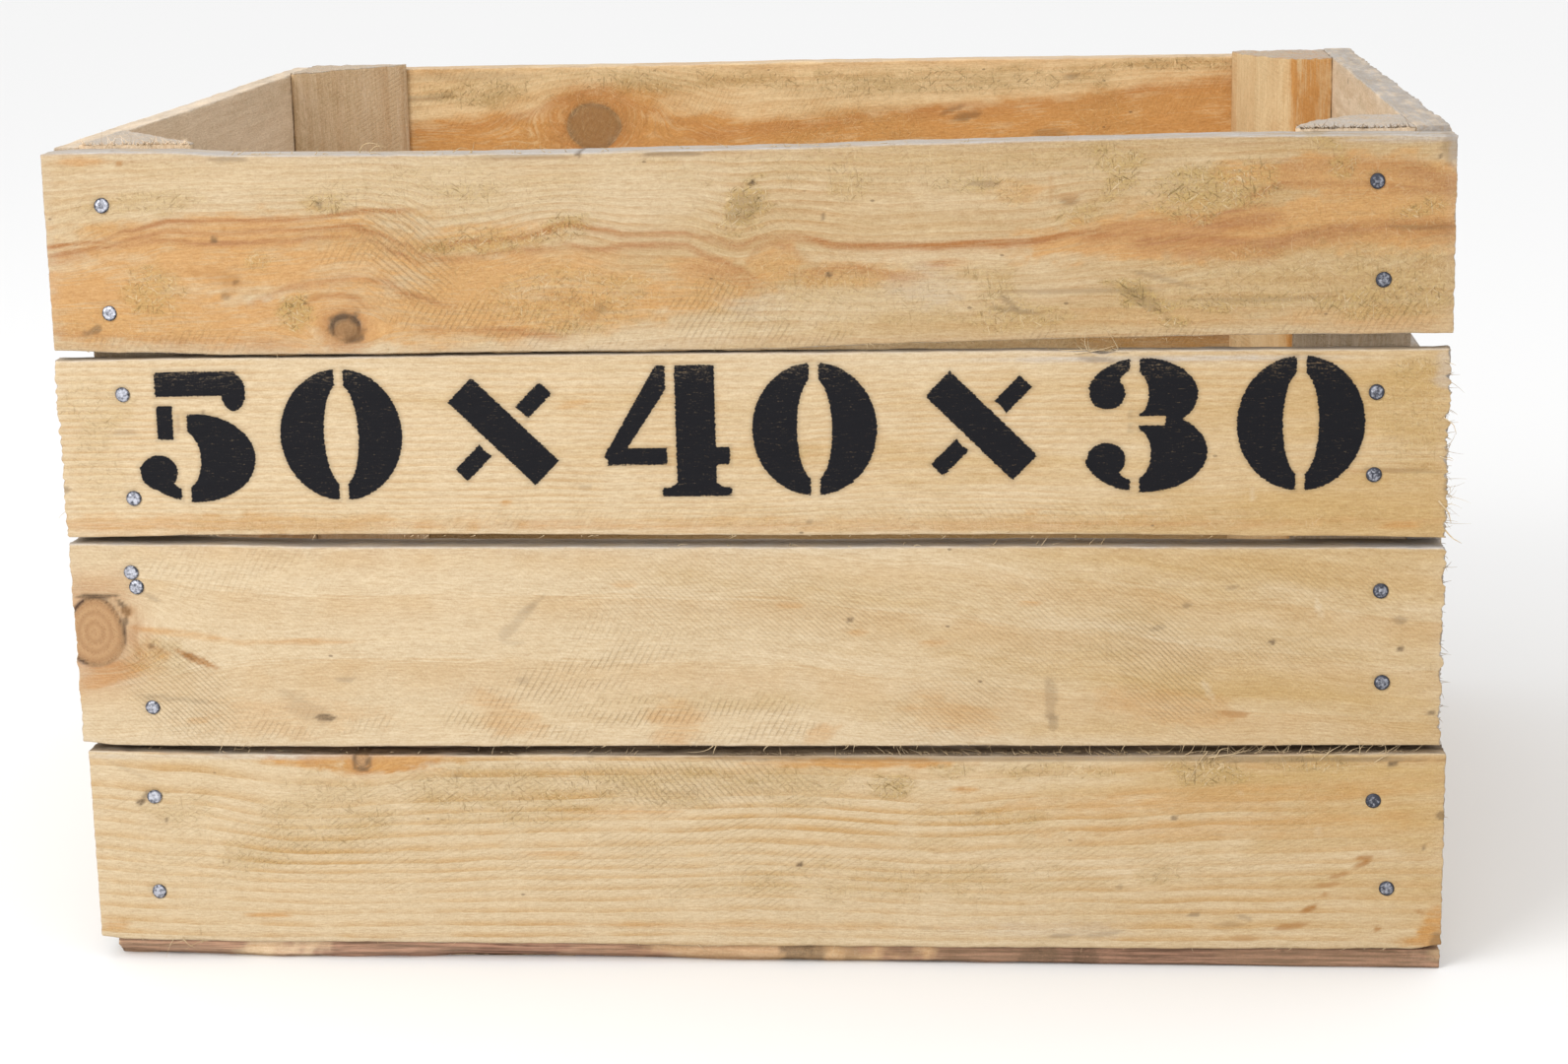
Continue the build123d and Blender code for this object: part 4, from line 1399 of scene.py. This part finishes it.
        fuzz=0.12, warmth=0.18, tan_and_shade_slant=0.46, grey=0.16, upper_face_darkening=0.5, ragged=(0.6, 1.0), back_slope=6.5,
        streaks=[
            ([(-252, 168), (-120, 169), (40, 167.5), (252, 169)], 1.6, 0.16),
            ([(-252, 205), (-225, 204), (-180, 205)], 1.0, 0.14),
            ([(205, 188), (225, 187), (252, 190)], 1.2, 0.22),
        ],
        spots={
            "amber": [
                (-180, 169, 90, 3.5, 0, 0.35), (60, 168.5, 140, 2.5, 0, 0.28), (232, 167, 7, 1.5, 0, 0.6),
                (-60, 213, 6, 1.2, 10, 0.3), (45, 200.5, 3, 0.7, 0, 0.4), (88, 200, 2, 0.8, 0, 0.4),
                (103, 172.5, 2.5, 0.7, 0, 0.5), (-87, 176.6, 2, 0.8, 0, 0.6),
            ],
            "fuzz": [
                (-236, 212, 12, 10, 0, 0.35), (-238, 190, 10, 16, 0, 0.2), (236, 205, 12, 22, 0, 0.25),
                (-150, 168, 60, 4, 0, 0.2), (100, 169, 120, 4, 0, 0.22), (18, 195, 6, 4, 0, 0.3),
                (236, 224, 10, 3, 0, 0.4),
            ],
            "pale": [(181, 178.5, 0.9, 3, 0, 0.9), (-180, 225, 60, 4, 0, 0.3)],
            "stain": [
                (75.5, 197, 1.3, 1.6, 0, 0.55), (-197, 210.3, 0.9, 0.7, 0, 0.6),
                (-58, 182, 2.6, 1.2, 0, 0.22), (-226, 203, 5, 1, 0, 0.25), (23, 169, 1, 0.6, 0, 0.4),
                (232, 187, 14, 0.6, -3, 0.3), (126, 227.5, 6, 1.0, -4, 0.45), (-250, 182, 1.5, 1, 0, 0.5),
                (249, 180, 1.5, 3, 0, 0.3),
            ],
            "grey": [(150, 227.5, 60, 1.2, 0, 0.4), (247, 222, 4, 7, 0, 0.3)],
            "hatch": [(-60, 170, 70, 4, 0, 0.25)],
            "scratch": [(120, 172, 110, 4, 0, 0.3)],
        },
        lower=[(-250, -0.2), (-200, 0.6), (-120, 0.8), (0, 0.75), (120, 0.6), (220, 0.0), (250, -0.5)],
        upper=[
            (-250, -0.3), (-200, 0.2), (-120, 0.4), (0, 0.5), (100, 0.2), (122, -0.2), (128, -1.3),
            (134, 0.0), (250, -0.3),
        ],
        hairs=[
            (0.6, [(244, 170, 2), (248, 166, 1), (251, 162.5, 0), (254.5, 160.5, 0)]),
            (0.45, [(246, 176, 0), (249.5, 172, -0.8), (250.5, 168, -0.5)]),
            (0.3, [(247, 206, 0), (250.5, 203.5, -1), (251.5, 200, -1)]),
            (0.3, [(246, 192, 0), (250.5, 190.5, -1)]), (0.3, [(247, 226, 0), (250.8, 224.5, -0.5)]),
            (0.3, [(112, 230.4, 1), (124, 231, 0.2), (137, 229.6, 0)]),
            (0.25, [(118, 229.5, 0), (127, 230.9, -0.3), (133, 232.6, 0)]),
        ],
        fringes=[
            ("high end", 165, 228, 46, 3.2, 0.0), ("high end", 164, 182, 18, 6.0, 0.0),
            ("low end", 166, 200, 14, 1.8, 0.2), ("upper", 60, 128, 12, 4.0, 0.2),
            ("lower", -200, 200, 30, 1.6, 0.0), ("upper", 120, 136, 8, 7.0, 0.0),
        ],
    ),
    "front_slat_3": Look(
        37, pith=(-40.0, 150.0), ring=5.6, rings=0.45, saw=(62, 2.2, 0.16), saw_across=(-44, 1.5, 0.26),
        fuzz=0.08, warmth=0.14, tan_and_shade_slant=0.46, grey=0.2, upper_face_darkening=0.4, knots=[(-243, 128, 11.5, 13.8, 0.85)],
        flow_level=120, flow_reach=60, ragged=(0.35, 0.8),
        flow=[(-252, 0), (-120, 2), (0, 0), (60, -5), (120, -12), (180, -20), (252, -27)],
        streaks=[([(-236, 115), (-226, 121), (-223, 130), (-227, 139)], 1.2, 0.2)],
        spots={
            "amber": [
                (-90, 96, 13, 7, -25, 0.3), (-27, 94, 10, 8, 0, 0.36), (25, 89, 7, 3, 20, 0.32),
                (72, 97, 16, 7, -12, 0.3), (-208, 127, 18, 1.6, -8, 0.45), (-170, 124.5, 24, 1.0, 0, 0.4),
                (150, 101, 22, 6, -8, 0.3), (-175, 95, 30, 7, 0, 0.22), (-236, 113, 16, 4, 20, 0.5),
                (-223, 118, 6, 10, 0, 0.3), (-206, 94, 4, 1.2, 0, 0.4), (102, 139, 4, 0.8, 0, 0.5),
                (67, 124, 5, 1.2, 0, 0.4), (40, 128, 4, 1, 0, 0.35), (-45, 146, 5, 1, 0, 0.35),
                (15, 138, 5, 1, 0, 0.35),
            ],
            "fuzz": [
                (-220, 118, 10, 8, 0, 0.4), (130, 124, 14, 4, 0, 0.25), (-20, 103, 40, 4, 0, 0.18),
                (240, 112, 9, 8, 0, 0.2),
            ],
            "pale": [
                (166, 106, 1.2, 4.5, 28, 0.9), (205, 136.5, 0.8, 4.5, 18, 0.9),
                (-165, 116.5, 5, 0.9, 0, 0.7), (14, 95, 8, 4, 0, 0.4),
            ],
            "stain": [
                (-158, 95.4, 4, 1.2, 0, 0.8), (-166, 99, 9, 4, -28, 0.16), (-86, 131, 9, 2, 45, 0.2),
                (-78, 139, 5, 1, 40, 0.2), (-87, 124, 4, 1.2, 0, 0.14), (109.5, 103, 2.5, 7, 0, 0.28),
                (110, 94, 1.6, 3.5, 0, 0.35), (37, 132.9, 1.4, 0.4, 0, 0.7),
                (188.5, 124.2, 0.45, 1.1, 0, 0.9), (234, 122, 1.3, 0.6, 0, 0.8),
                (233.5, 132.5, 2.4, 1.4, 0, 0.4), (158, 138, 1.5, 0.7, 0, 0.45),
                (174, 144.5, 2.2, 0.8, 10, 0.3), (245.5, 98, 2, 0.8, 0, 0.65),
                (147.5, 129.4, 3, 1, 12, 0.3), (-241, 141.9, 8, 0.6, 2, 0.9),
                (-232, 138.3, 3.4, 0.7, -48, 0.9), (-230.6, 136, 1.9, 1.5, 0, 0.98),
                (-231.8, 130.5, 4.5, 0.55, 78, 0.85), (-222, 142, 5, 0.9, -30, 0.3),
                (-222, 123, 1, 1, 0, 0.6), (-208, 118.7, 2.6, 0.8, -24, 0.95),
                (-215, 102.5, 14, 0.4, -6, 0.25), (-84, 110, 2.5, 1.4, 0, 0.25),
                (-150, 110, 4, 0.5, 0, 0.3),
            ],
            "rust": [
                (-205, 117.6, 9, 1.3, -24, 0.85), (175.5, 97.6, 5, 1.3, -5, 0.6),
                (-220, 121.5, 6, 0.6, -20, 0.4), (-230.6, 136, 3, 2.4, 0, 0.4),
            ],
            "grey": [(240, 160, 20, 1.2, 0, 0.3)],
            "hatch": [
                (-60, 104, 26, 16, 0, 0.5), (-90, 95, 22, 12, 0, 0.55), (-12, 94, 36, 9, 0, 0.6),
                (-180, 92, 40, 6, 0, 0.4), (-45, 125, 24, 9, 0, 0.35), (-190, 152, 40, 10, 0, 0.3),
            ],
            "scratch": [
                (-215, 108, 26, 16, -40, 0.7), (0, 140, 60, 16, 0, 0.3), (150, 112, 24, 14, -50, 0.5),
                (70, 100, 24, 12, 0, 0.45), (90, 130, 60, 20, 0, 0.3), (190, 135, 60, 20, 0, 0.35),
            ],
        },
        lower=[
            (-250, 1.0), (-236, -0.3), (-200, -0.6), (-150, -0.65), (-100, -0.5), (0, -0.2), (100, 0),
            (250, 0.1),
        ],
        upper=[(-250, 0.2), (-200, -0.2), (-150, -0.9), (0, -0.3), (150, -0.1), (250, 0)],
        fringes=[
            ("high end", 88, 158, 44, 2.6, 0.5), ("low end", 90, 120, 10, 1.5, 0.2),
            ("upper", -30, 130, 14, 3.0, 0.0), ("lower", -240, 240, 44, 2.0, 0.0),
            ("lower", -60, 60, 6, 6.0, 0.0),
        ],
    ),
    "front_slat_4": Look(
        41, pith=(90.0, 58.0), ring=3.9, rings=0.85, saw=(30, 1.9, 0.16), saw_across=(-50, 2.1, 0.12),
        fuzz=0.16, warmth=0.08, tan_and_shade_slant=0.46, grey=0.14, upper_face_darkening=1.0,
        knots=[(-145.5, 79.6, 2.9, 3.9, 0.6)], flow_level=62, flow_reach=34, ragged=(0.18, 0.35),
        arris=0.8,
        flow=[
            (-252, 2), (-215, 0), (-170, -5), (-112, -2), (-40, -1), (12, 0), (68, -2), (122, 1),
            (176, 4), (252, 7),
        ],
        streaks=[([(-176, 83), (-163, 77.5), (-145, 73.8), (-128, 76), (-108, 82)], 1.2, 0.3)],
        spots={
            "amber": [
                (-140, 79.2, 30, 3.6, 0, 0.98), (-145, 76, 12, 3, 0, 0.6), (35, 78.6, 34, 1.9, 0, 0.75),
                (78, 68.6, 6, 1.0, 0, 0.5), (-50, 59.4, 22, 0.9, 0, 0.4), (-74, 43, 12, 1.0, 0, 0.4),
                (249, 17, 5, 8, 0, 0.95), (245, 11, 8, 2, 0, 0.7), (160, 65, 70, 4, 3, 0.3),
                (180, 55, 60, 4, 3, 0.25), (-185, 18, 9, 0.9, 0, 0.5), (0, 15, 70, 1.0, 0, 0.35),
                (-243, 14, 5, 2, 0, 0.4),
            ],
            "fuzz": [
                (-215, 60, 15, 5, 0, 0.25), (-160, 58, 24, 16, 0, 0.35), (-95, 66, 34, 12, 0, 0.42),
                (-35, 70, 28, 9, 0, 0.45), (50, 69, 9, 4, 10, 0.8), (56, 71, 4, 3, 0, 0.6),
                (75, 76, 8, 3, 0, 0.6), (110, 76, 24, 3, 0, 0.45), (165, 76, 14, 5, 0, 0.75),
                (205, 79, 16, 3, 0, 0.55), (148, 36, 8, 3, 0, 0.4), (20, 68, 24, 8, 0, 0.3),
                (-190, 40, 14, 6, 0, 0.35), (90, 58, 20, 3, 0, 0.3), (60, 33, 60, 7, 0, 0.22),
            ],
            "pale": [
                (-230, 30, 30, 16, 0, 0.3), (0, 20, 120, 12, 0, 0.35), (-20, 42, 90, 6, 0, 0.25),
                (206, 54, 1.4, 2.4, 0, 0.6), (178, 68, 1, 1.2, 0, 0.7), (-190, 57, 7, 0.8, 0, 0.5),
            ],
            "stain": [
                (17, 39.2, 1.5, 0.85, 0, 1.0), (-230.4, 62.3, 1.6, 1.2, 20, 0.85),
                (-228.5, 64.8, 2.2, 0.5, 55, 0.5), (232, 78.8, 1.9, 1.2, 15, 0.8),
                (154, 58, 0.9, 0.4, 0, 0.75), (161.5, 21, 2.2, 0.6, 8, 0.5),
                (180, 20, 3.2, 0.9, -15, 0.35), (175, 17.3, 6, 1.0, 0, 0.28),
                (113, 12.3, 5, 0.9, 4, 0.35), (-221, 55, 1.0, 0.5, 0, 0.7), (249.8, 59.4, 2, 1.6, 0, 0.6),
                (63, 15, 3, 1, 0, 0.18), (128, 13, 8, 0.9, 10, 0.25), (134.5, 31.5, 0.5, 1.3, 0, 0.4),
                (249.5, 12, 2.5, 3, 0, 0.5), (-110, 73, 2, 0.5, 10, 0.3), (244, 47.5, 0.9, 0.5, 0, 0.6),
                (-235, 75, 10, 0.6, -25, 0.15), (83, 59.8, 1.6, 0.8, 0, 0.3),
                (-148.4, 79, 0.5, 3, 0, 0.7), (-145, 75.6, 2.2, 0.5, 0, 0.8),
                (-142.6, 78.5, 0.5, 2.2, 0, 0.6), (112, 80.7, 150, 1.3, 0, 0.5),
            ],
            "rust": [
                (222.5, 43.2, 3, 0.7, 5, 0.8), (222, 40.9, 3.6, 0.8, 28, 0.8),
                (214, 36.6, 4, 0.7, 12, 0.65), (210, 33, 5, 0.8, 6, 0.6), (208.7, 29, 1.4, 0.9, 30, 0.6),
                (203, 23.5, 3, 1.1, 25, 0.9), (197, 17, 6.5, 1.3, 10, 0.7), (228, 16, 1.2, 0.8, 0, 0.85),
                (180, 12, 5, 1.0, 0, 0.4), (243, 23, 1.8, 0.7, -30, 0.6), (76.5, 69, 1.6, 0.7, 0, 0.4),
            ],
            "grey": [(110, 15, 30, 3, 0, 0.2), (-200, 80, 50, 1, 0, 0.3)],
            "hatch": [(-60, 50, 160, 30, 0, 0.25), (150, 45, 80, 24, 0, 0.08)],
            "scratch": [(-20, 71, 45, 9, 0, 0.75), (-100, 72, 30, 8, 0, 0.35)],
        },
        lower=[
            (-250, 1.5), (-240, 0.4), (-190, -0.1), (-130, -0.3), (10, -0.3), (70, 0), (180, 0.4),
            (240, 0.8), (251, 2.4),
        ],
        upper=[(-250, 0.7), (-200, -0.2), (-100, -0.3), (0, -0.5), (100, 0.0), (250, 0.7)],
        hairs=[
            (0.2, [(166, 83.5, 0), (163, 80, -1), (160.5, 75, -0.6), (158, 70, -0.3)]),
            (0.3, [(166, 81, 0), (173, 82.2, -0.6), (182, 84.2, -0.3)]),
            (0.25, [(168, 80, 0), (170.5, 84.4, -0.5), (174, 84.8, 0)]),
            (0.25, [(206, 80, 0), (210, 84, -0.6), (214, 86, 0)]),
            (0.25, [(225, 79, 0), (229, 82, -0.8), (233, 83, 0)]),
            (0.25, [(-218, 9, -0.2), (-216, 6.4, -0.6), (-213, 4.6, -0.4)]),
            (0.25, [(-22, 8, -0.2), (-19, 5, -0.4)]),
        ],
        fringes=[
            ("upper", 150, 185, 26, 7.5, 0.0), ("upper", 186, 240, 34, 5.5, 0.0),
            ("upper", 0, 150, 70, 2.2, 0.45), ("upper", 30, 240, 60, 3.0, 0.1),
            ("upper", -240, 0, 36, 2.0, 0.4), ("lower", -240, 240, 44, 2.0, 0.0),
            ("lower", -225, -205, 5, 6.0, 0.0), ("lower", -25, -10, 4, 4.0, 0.0),
            ("low end", 20, 70, 10, 1.4, 0.2), ("high end", 15, 60, 8, 1.6, 0.3),
        ],
    ),
}
OTHER_LOOKS = {
    "bottom_slat_1": Look(
        47, pith=(-20.0, 40.0), ring=3.4, rings=0.5, warmth=0.9, tan_and_shade_slant=0.1, grey=0.05, fuzz=0.4,
        wane=[
            (-252, 4.3, 7), (-220, 3.2, 5), (-181, 1.6, 3), (-150, 2.1, 3), (-100, 3.4, 6), (-60, 3.5, 6),
            (0, 2.4, 4), (60, 1.7, 3), (150, 1.1, 2), (255, 0.7, 1),
        ],
        spots={
            "bark": [
                (-226, -198, 28, 5, 0, 0.75), (-125, -198, 48, 5, 0, 0.85), (-72, -198, 36, 5, 0, 0.75),
                (-20, -198, 30, 4, 0, 0.2), (110, -198, 60, 8, 0, 0.75), (190, -198, 75, 8, 0, 0.75),
            ],
            "amber": [(0, -198, 60, 8, 0, 0.7), (150, -198, 120, 8, 0, 0.5)],
            "stain": [
                (15, -198, 5, 6, 0, 0.7), (105, -198, 8, 6, 0, 0.5), (122, -198, 5, 6, 0, 0.6),
                (160, -198, 105, 8, 0, 0.42), (22, -198, 3, 6, 0, 0.6),
            ],
        },
    ),
    "left_end_slat_1": Look(
        57, pith=(-50.0, 60.0), ring=4.0, rings=0.3, warmth=0.25, tan_and_shade_slant=0, grey=0.15, fuzz=0.3,
        upper_face_darkening=0.2,
        spots={
            "stain": [(150, 298, 20, 2, 0, 0.3), (60, 262, 3, 1.2, 0, 0.4)],
            # this pale oval covers the whole board: painted light on its shaded inner face
            "pale": [(0, 272, 230, 50, 0, 0.6)],
        },
    ),
    "right_end_slat_1": Look(
        59, pith=(50.0, 70.0), ring=4.4, rings=0.3, warmth=0.3, tan_and_shade_slant=0, grey=0.42, fuzz=0.35,
        upper_face_darkening=0.3, arris=0.9, chipped=0.9,
        spots={
            "stain": [(60, 302, 3, 1.4, 0, 0.5), (-40, 280, 3, 1.2, 0, 0.4)],
            "amber": [(160, 282, 20, 4, 0, 0.4)],
        },
    ),
    "back_slat_1": Look(
        53, pith=(-60.0, 40.0), ring=4.5, rings=0.35, warmth=0.25, tan_and_shade_slant=0.1, grey=0.15, fuzz=0.3,
        arris=1.0, knots=[(-106.7, 275.5, 13.0, 11.5, 0.35)], flow_level=280, flow_reach=24,
        flow=[
            (-252, 0), (-165, 1), (-140, 6), (-123, 13), (-101, 18), (-82, 9), (-65, 3), (-42, -2),
            (-14, 1), (34, 5), (80, 7), (127, 10), (162, 14), (252, 18),
        ],
        streaks=[
            ([
                (-195, 275), (-165, 277), (-140, 282), (-122, 289), (-101, 293), (-83, 285), (-65, 278),
                (-42, 274),
            ], 2.4, 0.4),
            ([
                (-60, 272), (0, 276), (34, 280), (80, 282), (127, 285), (162, 290), (200, 293),
                (252, 294),
            ], 3.2, 0.35),
        ],
        spots={
            "amber": [
                (-160, 268, 60, 13, 3, 0.9), (-101, 279, 32, 15, 0, 0.9), (-60, 269, 50, 11, 0, 0.9),
                (20, 268, 70, 12, 3, 0.95), (110, 271, 80, 14, 3, 0.95), (190, 277, 70, 17, 3, 0.95),
                (0, 240, 260, 28, 0, 0.8),
            ],
            "fuzz": [
                (-60, 297, 60, 5, 0, 0.4), (60, 295, 70, 6, 0, 0.5), (-160, 292, 25, 6, 0, 0.5),
                (180, 301, 40, 3, 0, 0.5),
            ],
            "rust": [(-106.7, 275.5, 12, 10, 0, 0.6)],
            "stain": [
                (70, 278, 7, 2, 10, 0.5), (64, 281, 6, 1.2, 20, 0.4), (-190, 290, 14, 1.5, 5, 0.35),
                (110, 269, 8, 3, 0, 0.3), (120, 296, 4, 1.5, 0, 0.4), (-170, 300, 40, 2, 0, 0.2),
            ],
            # these pale bands at the top of the inner face are painted light, where light falls in over the
            # front wall
            "pale": [(-120, 299, 80, 5, 0, 0.4), (40, 292, 90, 5, 3, 0.5)],
        },
    ),
}
TEMPERS = {  # for the boards that the photograph hides: rings, warmth, grey, fuzz
    "back_slat": (0.5, 0.35, 0.2, 0.5),
    "left_end_slat": (0.4, 0.45, 0.3, 0.4),
    "right_end_slat": (0.4, 0.4, 0.3, 0.4),
    "bottom_slat": (0.5, 0.35, 0.28, 0.5),
}


def ovals(rng, places, lengths, heights, strengths, angle=0):
    """Ovals of random size for a Look, turned at random up to an angle, one at each place."""
    made = []
    for s, t in places:
        size = rng.uniform(*lengths), rng.uniform(*heights)
        turn = rng.uniform(-angle, angle) if angle else 0
        made.append((s, t, *size, turn, rng.uniform(*strengths)))
    return made


def hidden_look(node, seed):
    """A look for a board that the photograph doesn't show: its own pith, rings, knots and streaks."""
    rng = np.random.default_rng(seed)
    prefix = node.rsplit("_", 1)[0]
    along, across, _, _ = SIDES[prefix]
    tips, bottom, top = slat_outline(node, along, across)
    rings, warmth, grey, fuzz = TEMPERS[prefix]
    middle, half = (bottom[0] + top[0]) / 2, (top[0] - bottom[0]) / 2
    places = [(rng.uniform(*tips), middle + rng.uniform(-0.8, 0.8) * half) for _ in range(14)]
    knots = [
        (s, t, rng.uniform(3, 8), rng.uniform(3, 6), rng.uniform(0.2, 0.9))
        for s, t in places[: rng.integers(0, 3)]
    ]
    flow = [(x, rng.normal(0, 3)) for x in np.linspace(tips[0] - 2, tips[1] + 2, 7)]
    line = middle + rng.uniform(-0.5, 0.5) * half
    streaks = [
        ([(x, line + rise + lift) for x, rise in flow], rng.uniform(1, 3), rng.uniform(0.2, 0.6))
        for lift in (0, rng.uniform(3, 6), rng.uniform(-9, -4))
    ]
    spots = {
        "stain": ovals(rng, places[3:9], (0.8, 6), (0.6, 1.6), (0.2, 0.7), 30),
        "fuzz": ovals(rng, places[8:12], (8, 24), (4, 9), (0.3, 0.8)),
        "amber": ovals(rng, places[11:], (30, 90), (4, 12), (0.3, 0.8)),
    }
    pith, ring = (rng.uniform(-90, 90), rng.uniform(35, 90)), rng.uniform(2.8, 5.0)
    return Look(
        seed, pith=pith, ring=ring, rings=rings, flow=flow, knots=knots, streaks=streaks, spots=spots,
        saw=(rng.uniform(45, 130), 2.1, 0.4), fuzz=fuzz, warmth=warmth + rng.uniform(-0.15, 0.25),
        tan_and_shade_slant=0, grey=grey, ragged=(0.4, 0.4),
    )


POST_LOOKS = {
    "corner_post_front_left": Look(
        61, pith=(-6, -6), ring=3.2, rings=0.5, warmth=0.5, tan_and_shade_slant=0, grey=0.25,
        top_fringes=[(110, 2.2, 0.0), (40, 2.2, 0.55)],
    ),
    "corner_post_front_right": Look(
        62, pith=(-9, -5), ring=2.8, rings=0.45, warmth=0.5, tan_and_shade_slant=0, grey=0.25,
        top_fringes=[(30, 1.6, 0.3), (120, 1.6, 0.95)],
    ),
    "corner_post_back_left": Look(
        63, pith=(-7, -9), ring=3.4, rings=0.55, warmth=0.85, tan_and_shade_slant=0, grey=0.06, fuzz=0.35,
        spots={
            # this thin full-height stain along the post's edge is a painted shadow, in the gap where the
            # post meets the end slat
            "stain": [(150, 0.2, 170, 0.8, 0, 0.8)],
        },
    ),
    "corner_post_back_right": Look(
        64, pith=(-4, -8), ring=5.5, rings=0.4, warmth=0.05, tan_and_shade_slant=0, grey=0.02, fuzz=0.2,
        spots={
            "amber": [(220, 5, 120, 7, 0, 0.6), (220, 12, 120, 5, 0, 0.75), (220, 17, 120, 2, 0, 0.9)],
            # the thin full-height stain along the post's edge is a painted shadow, in the gap where the
            # post meets the end slat
            "stain": [(150, 0.0, 170, 1.0, 0, 1.0), (150, 10, 300, 40, 0, 0.12)],
        },
    ),
}

for node in SHOWN_SLOTS:
    prefix = node.rsplit("_", 1)[0]
    if node in FRONT_LOOKS:
        Slat(node, FRONT_LOOKS[node], FINE_STEP).build()
    elif node in OTHER_LOOKS:
        Slat(node, OTHER_LOOKS[node], MEDIUM_STEP).build()
    elif prefix in SIDES:
        seed = 100 + 7 * sorted(SHOWN_SLOTS).index(node)
        Slat(node, hidden_look(node, seed), COARSE_STEP).build()
    elif node in POST_LOOKS:
        post(node, POST_LOOKS[node], COARSE_STEP)
    else:
        nail_group(node, 300 + sorted(SHOWN_SLOTS).index(node))


# ---------------------------------------------------------------- studio

HORIZON_LIGHT = 0.80
ZENITH_LIGHT = 1.5
LAMP_WHITE = (1.0, 0.99, 0.97)
FLOOR_REACH = 8.0  # metres each way


def soft_light(name, place, aim, size, watts, colour):
    """A large square area light that shines from place to aim, both in mm."""
    data = bpy.data.lights.new(name, "AREA")
    data.shape = "SQUARE"
    data.size = size * MM
    data.energy = watts
    data.color = colour
    light = bpy.data.objects.new(name, data)
    light.location = Vector(place) * MM
    light.rotation_euler = (Vector(aim) - Vector(place)).to_track_quat("-Z", "Y").to_euler()
    bpy.context.scene.collection.objects.link(light)


def floor():
    """A plain pale floor."""
    mesh = bpy.data.meshes.new("floor")
    reach, z = FLOOR_REACH, cad_low.z
    corners = [(-reach, -reach, z), (reach, -reach, z), (reach, reach, z), (-reach, reach, z)]
    mesh.from_pydata(corners, [], [(0, 1, 2, 3)])
    made = bpy.data.objects.new("floor", mesh)
    bpy.context.scene.collection.objects.link(made)
    g = Graph("floor_paper")
    g.shader.inputs["Base Color"].default_value = (0.72, 0.72, 0.72, 1)
    g.shader.inputs["Roughness"].default_value = 0.9
    g.shader.inputs["Specular IOR Level"].default_value = 0.1
    mesh.materials.append(g.material)


def world_light():
    """Soft white light from everywhere, brightest from above."""
    world = bpy.data.worlds.new("studio")
    world.use_nodes = True
    tree = world.node_tree
    background = tree.nodes["Background"]
    direction = tree.nodes.new("ShaderNodeTexCoord")
    parts = tree.nodes.new("ShaderNodeSeparateXYZ")
    height = tree.nodes.new("ShaderNodeMapRange")
    for socket, value in zip(height.inputs[1:], (0.0, 1.0, HORIZON_LIGHT, ZENITH_LIGHT)):
        socket.default_value = value
    tree.links.new(direction.outputs["Generated"], parts.inputs[0])
    tree.links.new(parts.outputs["Z"], height.inputs[0])
    tree.links.new(height.outputs[0], background.inputs["Strength"])
    background.inputs["Color"].default_value = (1.0, 1.0, 1.0, 1)
    bpy.context.scene.world = world


def camera():
    """The camera, at the photograph's viewing angle."""
    data = bpy.data.cameras.new("camera")
    data.lens = LENS
    made = bpy.data.objects.new("camera", data)
    made.location = Vector(CAMERA_PLACE) * MM
    yaw, pitch, roll = (math.radians(v) for v in (CAMERA_YAW, CAMERA_PITCH, CAMERA_ROLL))
    aim = Euler((math.pi / 2 - pitch, 0, yaw)).to_matrix() @ Euler((0, 0, -roll)).to_matrix()
    made.rotation_euler = aim.to_euler()
    bpy.context.scene.collection.objects.link(made)
    bpy.context.scene.camera = made


floor()
world_light()
soft_light("key", (-1200, -1450, 1250), (0, 0, 180), 1200, 31, LAMP_WHITE)
soft_light("fill", (-200, -2300, 500), (0, 0, 200), 700, 7, LAMP_WHITE)
camera()
bpy.context.scene.view_settings.view_transform = "Standard"
